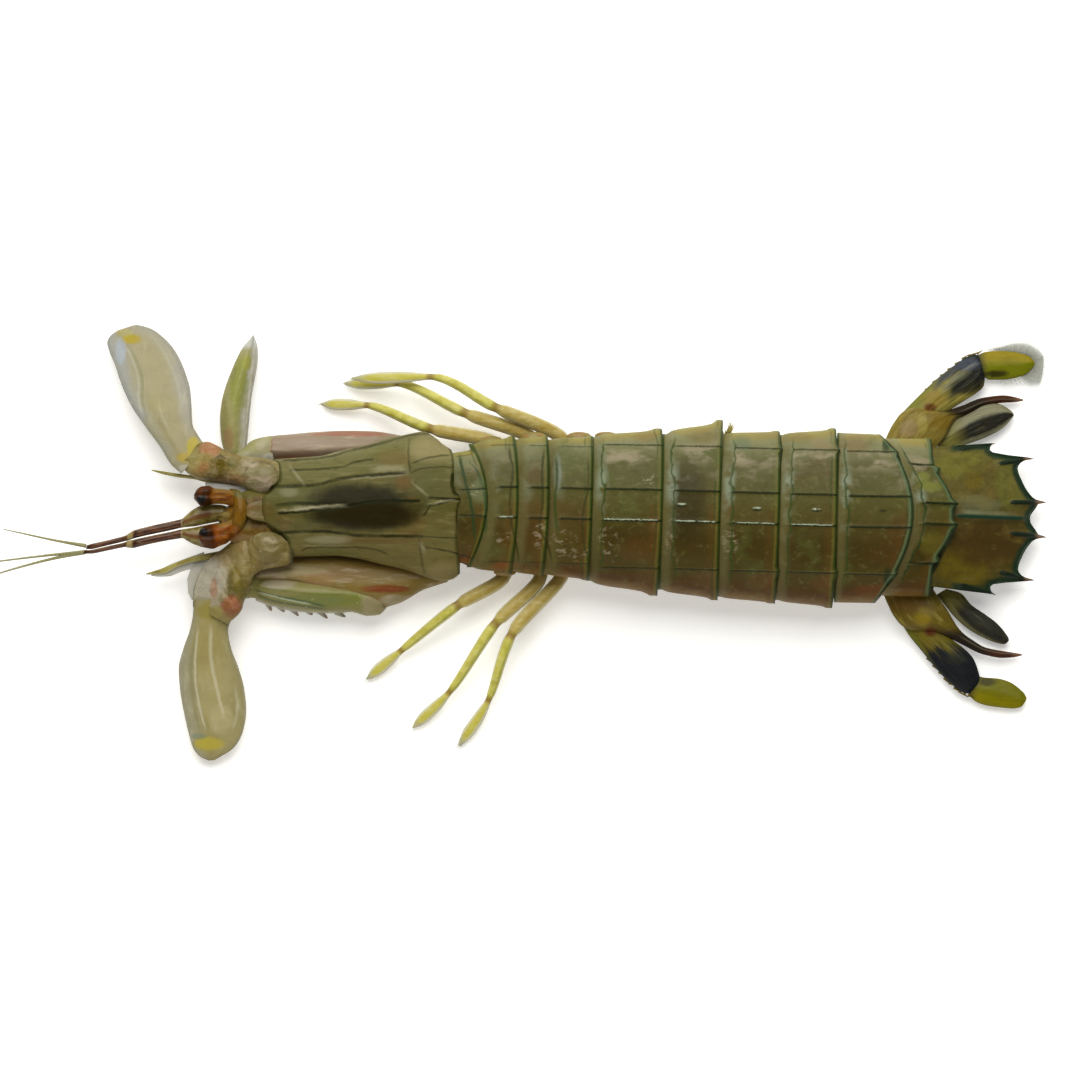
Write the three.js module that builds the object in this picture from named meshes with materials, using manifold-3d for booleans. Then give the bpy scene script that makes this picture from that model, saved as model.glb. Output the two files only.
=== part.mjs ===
// A raw mantis shrimp lying belly down on a flat surface: head towards -X, tail towards +X, back up,
// the animal's right side towards +Y. Millimetres.
//
// The shell is built as the animal is: a carapace, four free thoracic rings, six abdominal rings and the
// tail plate, in one row along a slightly bent body axis, each a closed solid a hair apart from the next.
// The limbs are tapered solids about smooth paths through their joints.

import * as THREE from 'three';
import { mergeVertices } from 'three/addons/utils/BufferGeometryUtils.js';
import Module from 'manifold-3d';

// ---------------------------------------------------------------- driving dimensions

const BODY_LENGTH = 152;        // tip of the rostral plate to the tips of the tail teeth
const BODY_HALF_WIDTH = 16.6;   // at the rear edge of the widest abdominal rings
const BACK_HEIGHT = 17;         // top of the abdomen above the surface
const GAP = 0.3;                // clearance between neighbouring pieces
const RIDGE = 0.35;             // how far a carina stands up from the shell

const ROSTRUM_X = -75.8;                        // foremost edge of the shell
const TAIL_X = ROSTRUM_X + BODY_LENGTH;         // tips of the tail teeth
const BOX_CENTRE = [-27.9, -6.0];               // middle of the whole outline, antennae and limbs included

// ---------------------------------------------------------------- curves through a few values

// A smooth curve through [place, value] pairs that never overshoots them.
function through(...stations) {
  const slope = (i) => (stations[i + 1][1] - stations[i][1]) / (stations[i + 1][0] - stations[i][0]);
  const tangent = (i) => {
    if (i === 0) return slope(0);
    if (i === stations.length - 1) return slope(i - 1);
    const before = slope(i - 1);
    const after = slope(i);
    return before * after <= 0 ? 0 : (2 * before * after) / (before + after);
  };
  return (place) => {
    const last = stations.length - 1;
    if (place <= stations[0][0]) return stations[0][1];
    if (place >= stations[last][0]) return stations[last][1];
    const i = stations.findIndex(([p]) => p > place) - 1;
    const span = stations[i + 1][0] - stations[i][0];
    const t = (place - stations[i][0]) / span;
    const ease = t * t * (3 - 2 * t);
    const bend = t * (1 - t);
    return stations[i][1] * (1 - ease) + stations[i + 1][1] * ease
      + bend * (1 - t) * tangent(i) * span - bend * t * tangent(i + 1) * span;
  };
}

const mix = (a, b, t) => a + (b - a) * t;

// The body's middle line, seen from above: it swings a little to the right at the waist.
const axisY = through([-76, -1.2], [-69, -1.1], [-35, 0.2], [-3, -0.6], [45, -1.85], [76, -2.1]);

// A place given along the body, across it and above the surface.
function onBody(along, across, height) {
  const lean = (axisY(along + 1) - axisY(along - 1)) / 2;
  return new THREE.Vector3(along - lean * across, axisY(along) + across, height);
}

// ---------------------------------------------------------------- solids

const wasm = await Module();
wasm.setup();

// Keeps only the positions, joins the doubled vertices and turns the faces outwards.
function closed(geometry) {
  geometry.deleteAttribute('normal');
  geometry.deleteAttribute('uv');
  const merged = mergeVertices(geometry, 1e-4);
  const at = merged.getAttribute('position');
  const index = merged.getIndex().array;
  const corner = [new THREE.Vector3(), new THREE.Vector3(), new THREE.Vector3()];
  let volume = 0;
  for (let i = 0; i < index.length; i += 3) {
    corner.forEach((c, k) => c.fromBufferAttribute(at, index[i + k]));
    volume += corner[0].dot(corner[1].clone().cross(corner[2]));
  }
  if (volume < 0) {
    for (let i = 0; i < index.length; i += 3) [index[i + 1], index[i + 2]] = [index[i + 2], index[i + 1]];
  }
  merged.computeVertexNormals();
  return merged;
}

function toManifold(geometry) {
  return new wasm.Manifold(new wasm.Mesh({
    numProp: 3,
    vertProperties: new Float32Array(geometry.getAttribute('position').array),
    triVerts: new Uint32Array(geometry.getIndex().array),
  }));
}

function fromManifold(manifold) {
  const mesh = manifold.getMesh();
  const geometry = new THREE.BufferGeometry();
  const positions = new Float32Array(mesh.numVert * 3);
  for (let v = 0; v < mesh.numVert; v++) {
    for (let c = 0; c < 3; c++) positions[v * 3 + c] = mesh.vertProperties[v * mesh.numProp + c];
  }
  geometry.setAttribute('position', new THREE.BufferAttribute(positions, 3));
  geometry.setIndex(new THREE.BufferAttribute(new Uint32Array(mesh.triVerts), 1));
  geometry.computeVertexNormals();
  return geometry;
}

const joined = (...pieces) => fromManifold(pieces.map(toManifold).reduce((whole, next) => whole.add(next)));

// A closed skin of rings, one behind another: `at(ring, side)` gives each point, `hub(ring)` the middle
// of the first and of the last ring.
function skin(ringCount, sideCount, at, hub) {
  const geometry = new THREE.CylinderGeometry(1, 1, 1, sideCount, ringCount - 1);
  const position = geometry.getAttribute('position');
  for (let v = 0; v < position.count; v++) {
    const [x, y, z] = [position.getX(v), position.getY(v), position.getZ(v)];
    const ring = Math.round((0.5 - y) * (ringCount - 1));
    const turn = Math.atan2(x, z) / (2 * Math.PI) + 1;
    const point = Math.hypot(x, z) < 0.5 ? hub(ring) : at(ring, Math.round(turn * sideCount) % sideCount);
    position.setXYZ(v, point.x, point.y, point.z);
  }
  return closed(geometry);
}

// A limb, blade or spine about a smooth path through its joints. Places along it are counted in joints,
// so 1.5 is half way from the second joint to the third. Half widths lie level, half heights stand upright.
function limb({ path, places, halfWidth, halfHeight, sides = 8, flatTo = null }) {
  const curve = new THREE.CatmullRomCurve3(path.map((p) => new THREE.Vector3(...p)), false, 'centripetal');
  const share = (place) => Math.min(1, Math.max(0, place / (path.length - 1)));
  const frames = places.map((place) => {
    const forward = curve.getTangent(share(place));
    const across = new THREE.Vector3(0, 0, 1).cross(forward).normalize();
    return { centre: curve.getPoint(share(place)), across, up: forward.clone().cross(across) };
  });
  const at = (ring, side) => {
    const { centre, across, up } = frames[ring];
    const angle = (side / sides) * 2 * Math.PI;
    const point = centre.clone()
      .addScaledVector(across, Math.sin(angle) * halfWidth(places[ring]))
      .addScaledVector(up, Math.cos(angle) * halfHeight(places[ring]));
    if (flatTo !== null) point.z = Math.max(point.z, flatTo);
    return point;
  };
  return skin(places.length, sides, at, (ring) => frames[ring].centre);
}

const evenly = (count, last) => Array.from({ length: count }, (_, i) => (last * i) / (count - 1));

// One ring of the shell. `lanes` are the places across the back, from 0 in the middle to 1 at the side,
// where the skin has a vertex, and `carinae` are those of them that stand up as ridges.
function shell({ places, lanes, carinae, station }) {
  const back = [...lanes.slice(1).reverse(), ...lanes.map((lane) => -lane)];
  const belly = [-0.9, 0, 0.9];
  const sides = back.length + belly.length;
  const at = (ring, side) => {
    const s = station(places[ring]);
    const onBack = side < back.length;
    const lane = onBack ? back[side] : belly[side - back.length];
    const across = Math.abs(lane);
    const arch = (1 - across ** s.squareness) ** (1 / s.squareness);
    const ridge = carinae.includes(across) ? s.ridge : 0;
    const height = onBack ? mix(s.waist, s.top, arch) + ridge * Math.max(arch, 0.4) : s.belly(arch);
    const along = s.along(across * s.halfWidth) + (carinae.includes(across) ? s.spine : 0);
    return onBody(along, lane * s.halfWidth, height);
  };
  const hub = (ring) => {
    const s = station(places[ring]);
    return onBody(s.along(0), 0, mix(s.belly(1), s.top, 0.5));
  };
  return skin(places.length, sides, at, hub);
}

// ---------------------------------------------------------------- colours

const finish = (colour, roughness = 0.35) => new THREE.MeshStandardMaterial({ color: colour, roughness });
const SHELL = finish('#6f6c40');
const CARAPACE = finish('#6e6a3e');
const FLESH = finish('#9c8a6c', 0.5);
const CLAW = finish('#96945a');
const PINK = finish('#a7947c', 0.4);
const AMBER = finish('#62460e');
const CORNEA = finish('#412505', 0.1);
const BROWN = finish('#5d3e1e');
const BLADE = finish('#b0a987', 0.3);
const FEELER = finish('#999773');
const LEG = finish('#b2af55');
const TAIL = finish('#645b29');
const NAVY = finish('#141715');
const YELLOW = finish('#8f831c');

const animal = new THREE.Group();
animal.position.set(-BOX_CENTRE[0], -BOX_CENTRE[1], 0);

function add(name, geometry, material) {
  const mesh = new THREE.Mesh(geometry, material);
  mesh.name = name;
  animal.add(mesh);
}

// Both sides of the body, the animal's right first.
const SIDES = [{ side: 'right', sign: 1 }, { side: 'left', sign: -1 }];

// ---------------------------------------------------------------- carapace and rostral plate

const CARAPACE_FRONT = -69.0;
const CARAPACE_REAR = -35.4;
const CARAPACE_LENGTH = CARAPACE_REAR - CARAPACE_FRONT;
const CARAPACE_UNDERSIDE = 7;

function carapace() {
  const halfWidth = through([0, 7.9], [0.06, 8.6], [0.3, 9.5], [0.55, 10.9], [0.74, 12.9], [0.88, 14],
    [0.96, 13.5], [1, 12]);
  const top = through([0, 13.2], [0.25, 14.8], [0.6, 15.8], [0.85, 15.6], [1, 14.6]);
  const station = (t) => ({
    along: () => CARAPACE_FRONT + CARAPACE_LENGTH * t,
    halfWidth: halfWidth(t),
    top: top(t),
    waist: mix(9.6, 8.4, t),
    belly: () => CARAPACE_UNDERSIDE,
    squareness: 1.9,
    ridge: RIDGE,
    spine: 0,
  });
  const lanes = [0, 0.03, 0.22, 0.4, 0.44, 0.48, 0.66, 0.7, 0.74, 0.86, 0.93, 1];
  return shell({ places: evenly(15, 1), lanes, carinae: [0, 0.44, 0.7, 0.93], station });
}

function rostralPlate() {
  const outline = new THREE.Shape();
  outline.moveTo(0, 2.6);
  outline.lineTo(4.9, 1.8);
  outline.quadraticCurveTo(7.2, 0, 4.9, -1.8);
  outline.lineTo(0, -2.6);
  outline.closePath();
  const plate = new THREE.ExtrudeGeometry(outline, {
    depth: 0.5, bevelEnabled: true, bevelThickness: 0.15, bevelSize: 0.15, bevelSegments: 1, curveSegments: 6,
  });
  plate.rotateZ(Math.PI);
  plate.translate(CARAPACE_FRONT - GAP - 0.15, -1.4, 12.7);
  return closed(plate);
}

add('carapace', carapace(), CARAPACE);
add('rostral_plate', rostralPlate(), PINK);

// ---------------------------------------------------------------- thorax and abdomen rings

// Each ring: front and rear edge in the middle of the back, half widths there, how far its sides lag
// behind the middle, and how high the back stands at its rear edge.
const THORAX_UNDERSIDE = 6.7;
const PLEURA_UNDERSIDE = 4;
const rings = [
  { name: 'thoracic_somite_5', front: -34.9, rear: -29.9,
    widths: [10.6, 11.8], back: [13.2, 14.4], lag: [0.6, -1.4] },
  { name: 'thoracic_somite_6', front: -29.5, rear: -24.1,
    widths: [12.2, 13.2], back: [13.6, 14.8], lag: [-1.4, -1.2] },
  { name: 'thoracic_somite_7', front: -23.7, rear: -18.3,
    widths: [12.4, 13.4], back: [13.8, 15.2], lag: [-1.2, -0.8] },
  { name: 'thoracic_somite_8', front: -17.9, rear: -10.1,
    widths: [11.8, 13.6], back: [12.8, 15.8], lag: [-0.8, -0.3] },
  { name: 'abdominal_somite_1', front: -9.7, rear: 3.2,
    widths: [13.0, 16.0], back: [13.8, 16.8], lag: [-0.3, -0.4] },
  { name: 'abdominal_somite_2', front: 3.6, rear: 14.1,
    widths: [14.8, BODY_HALF_WIDTH], back: [15.4, BACK_HEIGHT], lag: [0, 0.1] },
  { name: 'abdominal_somite_3', front: 14.5, rear: 25.3,
    widths: [15.0, BODY_HALF_WIDTH], back: [15.4, BACK_HEIGHT], lag: [0.1, -0.2] },
  { name: 'abdominal_somite_4', front: 25.7, rear: 36.2,
    widths: [15.0, BODY_HALF_WIDTH], back: [15.2, 16.8], lag: [-0.1, -0.3] },
  { name: 'abdominal_somite_5', front: 36.6, rear: 50.6,
    widths: [15.0, 15.4], back: [14.8, 15.6], lag: [0, -5] },
];

const RING_PLACES = [0, 0.12, 0.2, 0.8, 0.9, 1];
const SUBMEDIAN = 0.18;        // places of the carinae across the back, as shares of the half width
const INTERMEDIATE = 0.7;
const LATERAL = 0.9;
const RING_LANES = [0, SUBMEDIAN - 0.025, SUBMEDIAN, SUBMEDIAN + 0.025, 0.42,
  INTERMEDIATE - 0.03, INTERMEDIATE, INTERMEDIATE + 0.03, LATERAL - 0.03, LATERAL, 1];
const CARINAE = [SUBMEDIAN, INTERMEDIATE, LATERAL];

// The edge of a ring lags behind its middle, by the given amount at the side of the body.
const SIDE = 15;
const lagging = (amount, across) => amount * (across / SIDE) ** 2;

function bodyRing({ front, rear, widths, back, lag, underside }) {
  const flare = through([0, 0], [0.12, 0.25], [0.8, 0.75], [0.9, 1], [1, 1]);
  const rise = through([0, 0], [0.12, 0.55], [0.2, 0.8], [0.9, 1], [1, 0.97]);
  const ridge = through([0, 0], [0.12, 0.3], [0.2, 1], [1, 1]);
  const station = (t) => ({
    along: (across) => mix(front, rear, t) + mix(lagging(lag[0], across), lagging(lag[1], across), t),
    halfWidth: mix(widths[0], widths[1], flare(t)),
    top: mix(back[0], back[1], rise(t)),
    waist: underside + 3,
    belly: () => underside,
    squareness: 2.3,
    ridge: RIDGE * ridge(t),
    spine: 0,
  });
  return shell({ places: RING_PLACES, lanes: RING_LANES, carinae: CARINAE, station });
}

for (const ring of rings) {
  const underside = ring.name.startsWith('thoracic') ? THORAX_UNDERSIDE : PLEURA_UNDERSIDE;
  add(ring.name, bodyRing({ ...ring, underside }), SHELL);
}

// The sixth ring is short and fits into the arched rear edge of the fifth. Its carinae end in spines.
function sixthRing() {
  const fifth = rings.at(-1);
  const front = fifth.rear + GAP + 0.1;
  const rear = 58.2;
  const station = (t) => ({
    along: (across) => mix(front + lagging(fifth.lag[1], across), rear + lagging(-3.6, across), t),
    halfWidth: mix(14.6, 14.9, t),
    top: mix(13.6, 12.2, t),
    waist: 6.4,
    belly: () => PLEURA_UNDERSIDE - 0.4,
    squareness: 2.3,
    ridge: 1.2 * RIDGE,
    spine: t === 1 ? 0.9 : 0,
  });
  return shell({ places: [0, 0.25, 0.5, 0.75, 0.9, 1], lanes: RING_LANES, carinae: CARINAE, station });
}

add('abdominal_somite_6', sixthRing(), SHELL);

// ---------------------------------------------------------------- tail plate

const TELSON_FRONT = 59.6;
const TELSON_CORNER = [56.4, 13.2];
const TELSON_START = 54.5;      // where its dome begins, ahead of the front edge
const TELSON_HALF_WIDTH = 16;
const TELSON_THICKNESS = 1.9;
// Half of the margin, from the side to the notch in the middle: each tooth's tip and the notch after it.
const TEETH = [
  { tip: [66.4, 14.5], notch: [65.6, 12.7] },
  { tip: [74.0, 11.6], notch: [70.8, 9.9] },
  { tip: [TAIL_X, 3.3], notch: [73.1, 0] },
];

function telsonOutline() {
  const half = (sign, outline, points) => points.forEach(([x, y, bx, by]) => {
    outline.quadraticCurveTo(bx, sign * by, x, sign * y);
  });
  const outline = new THREE.Shape();
  outline.moveTo(TELSON_FRONT, 0);
  const [side, middle, inner] = TEETH;
  const margin = [
    [...TELSON_CORNER, 58.6, 8.5],
    [...side.tip, 61.5, 13.9],
    [...side.notch, 65.7, 13.6],
    [...middle.tip, 68.6, 11.9],
    [...middle.notch, 71.6, 10.9],
    [...inner.tip, 72.3, 4.8],
    [...inner.notch, 73.9, 2.2],
  ];
  half(1, outline, margin);
  const back = margin.slice(0, -1).reverse().map(([x, y], i) => {
    const [, , bx, by] = margin[margin.length - 1 - i];
    return [x, y, bx, by];
  });
  half(-1, outline, back);
  outline.quadraticCurveTo(58.6, -8.5, TELSON_FRONT, 0);
  return outline;
}

function telson() {
  const prism = { depth: 20, bevelEnabled: false, curveSegments: 5 };
  const cutter = new THREE.ExtrudeGeometry(telsonOutline(), prism);
  cutter.translate(0, axisY(70), -2);
  const length = TAIL_X + 1.5 - TELSON_START;
  const top = through([0, 10.6], [0.5, 7.4], [1, 3.4]);
  const waist = (t) => mix(5.0, 2.0, t);
  const station = (t) => ({
    along: () => TELSON_START + length * t,
    halfWidth: TELSON_HALF_WIDTH,
    top: top(t),
    waist: waist(t),
    belly: (arch) => mix(waist(t), top(t), arch) - TELSON_THICKNESS,
    squareness: 2,
    ridge: through([0, 0.2], [0.3, 0.7], [0.9, 0.4], [1, 0.2])(t),
    spine: 0,
  });
  const dome = shell({
    places: evenly(8, 1), lanes: [0, 0.04, 0.25, 0.5, 0.75, 1], carinae: [0], station,
  });
  const plate = toManifold(dome).intersect(toManifold(closed(cutter)));
  // A low keel runs out along every tooth.
  const heightAt = (x, y) => {
    const t = Math.min(1, (x - TELSON_START) / length);
    return mix(waist(t), top(t), Math.sqrt(1 - (y / TELSON_HALF_WIDTH) ** 2));
  };
  const keels = SIDES.flatMap(({ sign }) => TEETH.map(({ tip: [x, y] }) => {
    const root = [x - 5.6, y * 0.86];
    return limb({
      path: [
        [root[0], axisY(70) + sign * root[1], heightAt(...root) - 0.55],
        [x - 0.2, axisY(70) + sign * y, heightAt(x, y) - 0.6],
      ],
      places: [0, 0.3, 0.7, 1],
      halfWidth: through([0, 0.5], [0.5, 0.75], [1, 0.12]),
      halfHeight: through([0, 0.4], [0.5, 0.85], [1, 0.12]),
      sides: 6,
    });
  }));
  return fromManifold(keels.map(toManifold).reduce((whole, keel) => whole.add(keel), plate));
}

add('telson', telson(), TAIL);

// ---------------------------------------------------------------- uropods

// Tail fan, each side: the basal piece with its long spine, the outer blade in two pieces and the inner
// blade. Every blade is a path from root to tip with its greatest half width.
const FAN = {
  right: {
    protopod: [[50.2, 13.0, 2.5], [53.8, 16.4, 2.4], [57.4, 18.6, 2.1], [64.6, 20.9, 1.6], [72.2, 20.9, 1.2]],
    exopod: [[49.6, 17.8, 2.3], [54.9, 22.6, 2.2], [60.4, 26.2, 2.0], [64.0, 27.9, 1.8]],
    tip: [[64.9, 27.5, 1.7], [69.5, 27.5, 1.5], [74.3, 27.6, 1.3]],
    endopod: [[56.2, 14.2, 2.1], [62.7, 16.2, 1.8], [70.0, 18.1, 1.5]],
  },
  left: {
    protopod: [
      [50.4, -16.6, 2.5], [54.2, -20.0, 2.4], [57.8, -22.8, 2.1], [63.8, -26.6, 1.6], [71.7, -27.6, 1.2],
    ],
    exopod: [[48.9, -20.8, 2.3], [54.1, -25.9, 2.2], [58.8, -30.4, 2.0], [61.9, -33.4, 1.8]],
    tip: [[62.5, -34.2, 1.7], [67.1, -34.9, 1.5], [72.7, -36.0, 1.3]],
    endopod: [[56.2, -17.0, 2.1], [61.6, -20.8, 1.8], [69.2, -25.1, 1.5]],
  },
};

const blade = (path, halfWidth, thickness, rings = 9) => limb({
  path,
  places: evenly(rings, path.length - 1),
  halfWidth,
  halfHeight: thickness,
});

for (const { side } of SIDES) {
  const fan = FAN[side];
  add(`uropod_base_${side}`, blade(
    fan.protopod,
    through([0, 1.3], [0.5, 1.8], [1, 1.7], [2, 1.1], [3, 0.8], [4, 0.1]),
    through([0, 1.2], [1, 1.3], [2, 0.9], [3, 0.7], [4, 0.1]),
    12,
  ), YELLOW);
  add(`uropod_outer_${side}`, blade(
    fan.exopod,
    through([0, 0.8], [0.6, 1.6], [1.6, 2.4], [2.5, 2.6], [3, 1.8]),
    through([0, 0.9], [1, 1.1], [3, 0.6]),
  ), NAVY);
  add(`uropod_outer_tip_${side}`, blade(
    fan.tip,
    through([0, 1.4], [0.5, 2.4], [1, 2.5], [1.6, 1.7], [2, 0.3]),
    through([0, 0.6], [1, 0.7], [2, 0.2]),
  ), YELLOW);
  add(`uropod_inner_${side}`, blade(
    fan.endopod,
    through([0, 0.9], [0.6, 2.1], [1.2, 2.3], [1.7, 1.5], [2, 0.3]),
    through([0, 0.6], [1, 0.75], [2, 0.2]),
  ), NAVY);
}

// ---------------------------------------------------------------- head, eyes and antennae

function head() {
  const halfWidth = through([0, 1.3], [0.15, 2.0], [0.45, 2.4], [0.6, 2.6], [1, 2.6]);
  return limb({
    path: [[-80.4, -2.1, 9.6], [-76.4, -1.7, 9.3], [-69.4, -1.2, 9.3]],
    places: evenly(8, 2),
    halfWidth: (place) => halfWidth(place / 2),
    halfHeight: through([0, 1.6], [0.4, 2.6], [1, 3.0], [2, 3.0]),
    sides: 12,
  });
}

add('head', head(), AMBER);

const EYES = {
  right: { path: [[-78.6, 1.4, 11.8], [-81.9, 1.4, 12.1], [-85.3, 1.2, 12.2]], bulge: 1.85 },
  left: { path: [[-78.0, -5.0, 11.8], [-80.9, -5.9, 12.1], [-84.6, -6.4, 12.2]], bulge: 2.2 },
};

for (const { side } of SIDES) {
  const { path, bulge } = EYES[side];
  add(`eye_${side}`, limb({
    path,
    places: [0, 0.3, 0.7, 1, 1.2, 1.35, 1.55, 1.75, 1.9, 2],
    halfWidth: through([0, 0.85], [0.6, 1.0], [1, 1.25], [1.2, bulge * 0.86], [1.5, bulge],
      [1.75, bulge * 0.86], [1.92, bulge * 0.5], [2, 0.2]),
    halfHeight: through([0, 0.85], [1, 1.2], [1.25, 1.6], [1.5, 1.8], [1.75, 1.55], [1.92, 0.9], [2, 0.2]),
    sides: 12,
  }), CORNEA);
}

// The antennules run side by side as far as their third joint, then their whips part.
const ANTENNULE_MIDLINE = [[-81.0, -3.15, 9.0], [-88.0, -4.2, 8.6], [-97.4, -6.25, 7.4], [-106, -7.75, 5.8]];
const ANTENNULE_SPREAD = [1.8, 0.98, 0.85, 0.66];
const WHIPS = {
  right: [[-111.2, -6.3, 4.8], [-121.8, -3.8, 2.6]],
  left: [[-111.4, -9.4, 4.6], [-131.7, -15.3, 1.2]],
};
const SECOND_WHIP = [[-105.6, -8.5, 5.7], [-112.5, -8.9, 4.6], [-132.1, -11.0, 1.8]];

for (const { side, sign } of SIDES) {
  const stalk = ANTENNULE_MIDLINE.map(([x, y, z], i) => [x, y + sign * ANTENNULE_SPREAD[i], z]);
  const whip = limb({
    path: [...stalk, ...WHIPS[side]],
    places: [0, 0.3, 0.7, 0.9, 1, 1.3, 1.9, 2, 2.1, 2.6, 3, 3.2, 4, 4.5, 5],
    halfWidth: through([0, 1.2], [0.5, 1.35], [0.9, 0.9], [1, 0.72], [1.9, 0.75], [2, 0.6], [2.1, 0.68],
      [2.8, 0.48], [3, 0.4], [3.2, 0.2], [5, 0.09]),
    halfHeight: through([0, 1.1], [0.5, 1.2], [1, 0.7], [2, 0.62], [2.8, 0.45], [3.2, 0.2], [5, 0.09]),
    sides: 6,
  });
  const second = () => limb({
    path: SECOND_WHIP,
    places: [0, 0.5, 1, 1.5, 2],
    halfWidth: through([0, 0.24], [2, 0.09]),
    halfHeight: through([0, 0.24], [2, 0.09]),
    sides: 6,
  });
  add(`antennule_${side}`, side === 'left' ? joined(whip, second()) : whip, BROWN);
}

const ANTENNAE = {
  right: {
    base: [[-69.9, 4.9, 9.8], [-74.0, 5.7, 9.6], [-78.8, 7.6, 8.8], [-82.6, 9.2, 8.2]],
    feeler: [[-80.0, 5.0, 8.0], [-85, 5.4, 7.0], [-89.5, 6.1, 6.0], [-94.0, 7.1, 5.0]],
    scale: [
      [-86.0, 9.8, 7.9], [-89.2, 15.5, 6.8], [-92.5, 22.5, 5.0], [-95.8, 29.0, 3.2], [-99.6, 34.6, 1.9],
    ],
  },
  left: {
    base: [[-69.8, -6.9, 9.8], [-73.4, -7.6, 9.6], [-77.2, -11.8, 8.8], [-79.6, -16.0, 8.2]],
    feeler: [[-78.6, -8.7, 8.0], [-84.5, -9.8, 7.0], [-89.5, -11.1, 6.0], [-94.4, -12.5, 5.0]],
    scale: [
      [-81.4, -18.8, 7.8], [-82.5, -24.8, 6.3], [-82.9, -32.5, 4.4], [-82.1, -39.5, 2.9], [-81.9, -47.0, 1.9],
    ],
  },
};

for (const { side } of SIDES) {
  const { base, feeler, scale } = ANTENNAE[side];
  add(`antenna_base_${side}`, limb({
    path: base,
    places: evenly(10, 3),
    halfWidth: through([0, 1.8], [0.5, 3.1], [1, 2.9], [1.7, 2.2], [2.4, 2.3], [3, 1.3]),
    halfHeight: through([0, 1.6], [0.5, 2.7], [1, 2.6], [2, 2.2], [3, 1.1]),
    sides: 10,
  }), FLESH);
  add(`antenna_feeler_${side}`, limb({
    path: feeler,
    places: [0, 0.5, 1, 1.6, 2.3, 3],
    halfWidth: through([0, 0.85], [1, 0.6], [2, 0.38], [3, 0.08]),
    halfHeight: through([0, 0.75], [1, 0.5], [2, 0.32], [3, 0.08]),
    sides: 6,
  }), FEELER);
  add(`antennal_scale_${side}`, limb({
    path: scale,
    places: evenly(11, 4),
    halfWidth: through([0, 3.1], [0.4, 3.6], [1, 4.3], [1.9, 5.8], [2.6, 5.95], [3.2, 5.3],
      [3.7, 3.6], [4, 0.9]),
    halfHeight: through([0, 0.9], [1, 0.8], [3, 0.6], [4, 0.3]),
    sides: 12,
  }), BLADE);
}

// ---------------------------------------------------------------- raptorial claws

// The right claw is swung open, with its last two joints pointing out to the side; the left one is folded
// back along the carapace, which leaves the comb of teeth of its dactylus in view.
const CLAWS = {
  right: {
    merus: { path: [[-43.7, 11.9, 3.3], [-59, 12.5, 3.2], [-74.6, 10.8, 3.4]], width: 2.45 },
    carpus: { path: [[-75.1, 9.0, 3.5], [-77.6, 8.5, 3.5], [-80.2, 8.7, 3.5]] },
    propodus: {
      path: [[-78.0, 10.8, 3.5], [-78.2, 16.5, 3.3], [-77.6, 22, 3.1], [-75.1, 30.8, 2.9]],
      width: 2.2,
    },
    dactylus: {
      path: [[-75.0, 11.8, 3.2], [-74.9, 18, 3.0], [-74.1, 25, 2.9], [-74.4, 32.9, 2.8]],
      teeth: 0,
    },
  },
  left: {
    merus: { path: [[-39.5, -13.4, 3.3], [-56, -11.8, 3.2], [-73.7, -12.2, 3.4]], width: 2.5 },
    carpus: { path: [[-74.3, -14.0, 3.5], [-77.0, -14.6, 3.5], [-79.8, -14.5, 3.5]] },
    propodus: {
      path: [[-73.6, -16.6, 3.5], [-67, -16.7, 3.2], [-57, -16.9, 3.0], [-46.8, -17.0, 2.9]],
      width: 1.8,
    },
    dactylus: {
      path: [[-49.8, -20.1, 2.4], [-57, -19.9, 2.4], [-65, -19.5, 2.6], [-73.7, -18.4, 3.4]],
      teeth: 5,
    },
  },
};
function dactylus({ path, teeth }) {
  const blunt = limb({
    path,
    places: evenly(10, 3),
    halfWidth: through([0, 0.42], [0.6, 0.6], [2, 0.55], [2.7, 0.4], [3, 0.1]),
    halfHeight: through([0, 0.8], [1, 0.95], [2.4, 0.7], [3, 0.12]),
  });
  if (teeth === 0) return blunt;
  const curve = new THREE.CatmullRomCurve3(path.map((p) => new THREE.Vector3(...p)), false, 'centripetal');
  const comb = Array.from({ length: teeth }, (_, i) => {
    const share = 0.36 + (0.56 * i) / teeth;
    const root = curve.getPoint(share);
    const forward = curve.getTangent(share);
    const outward = new THREE.Vector3(0, 0, 1).cross(forward).normalize();
    const point = root.clone().addScaledVector(outward, 1.4).addScaledVector(forward, 0.8);
    return limb({
      path: [root.toArray(), point.toArray()],
      places: [0, 1],
      halfWidth: through([0, 0.45], [1, 0.06]),
      halfHeight: through([0, 0.45], [1, 0.06]),
      sides: 5,
    });
  });
  return joined(blunt, ...comb);
}

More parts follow.
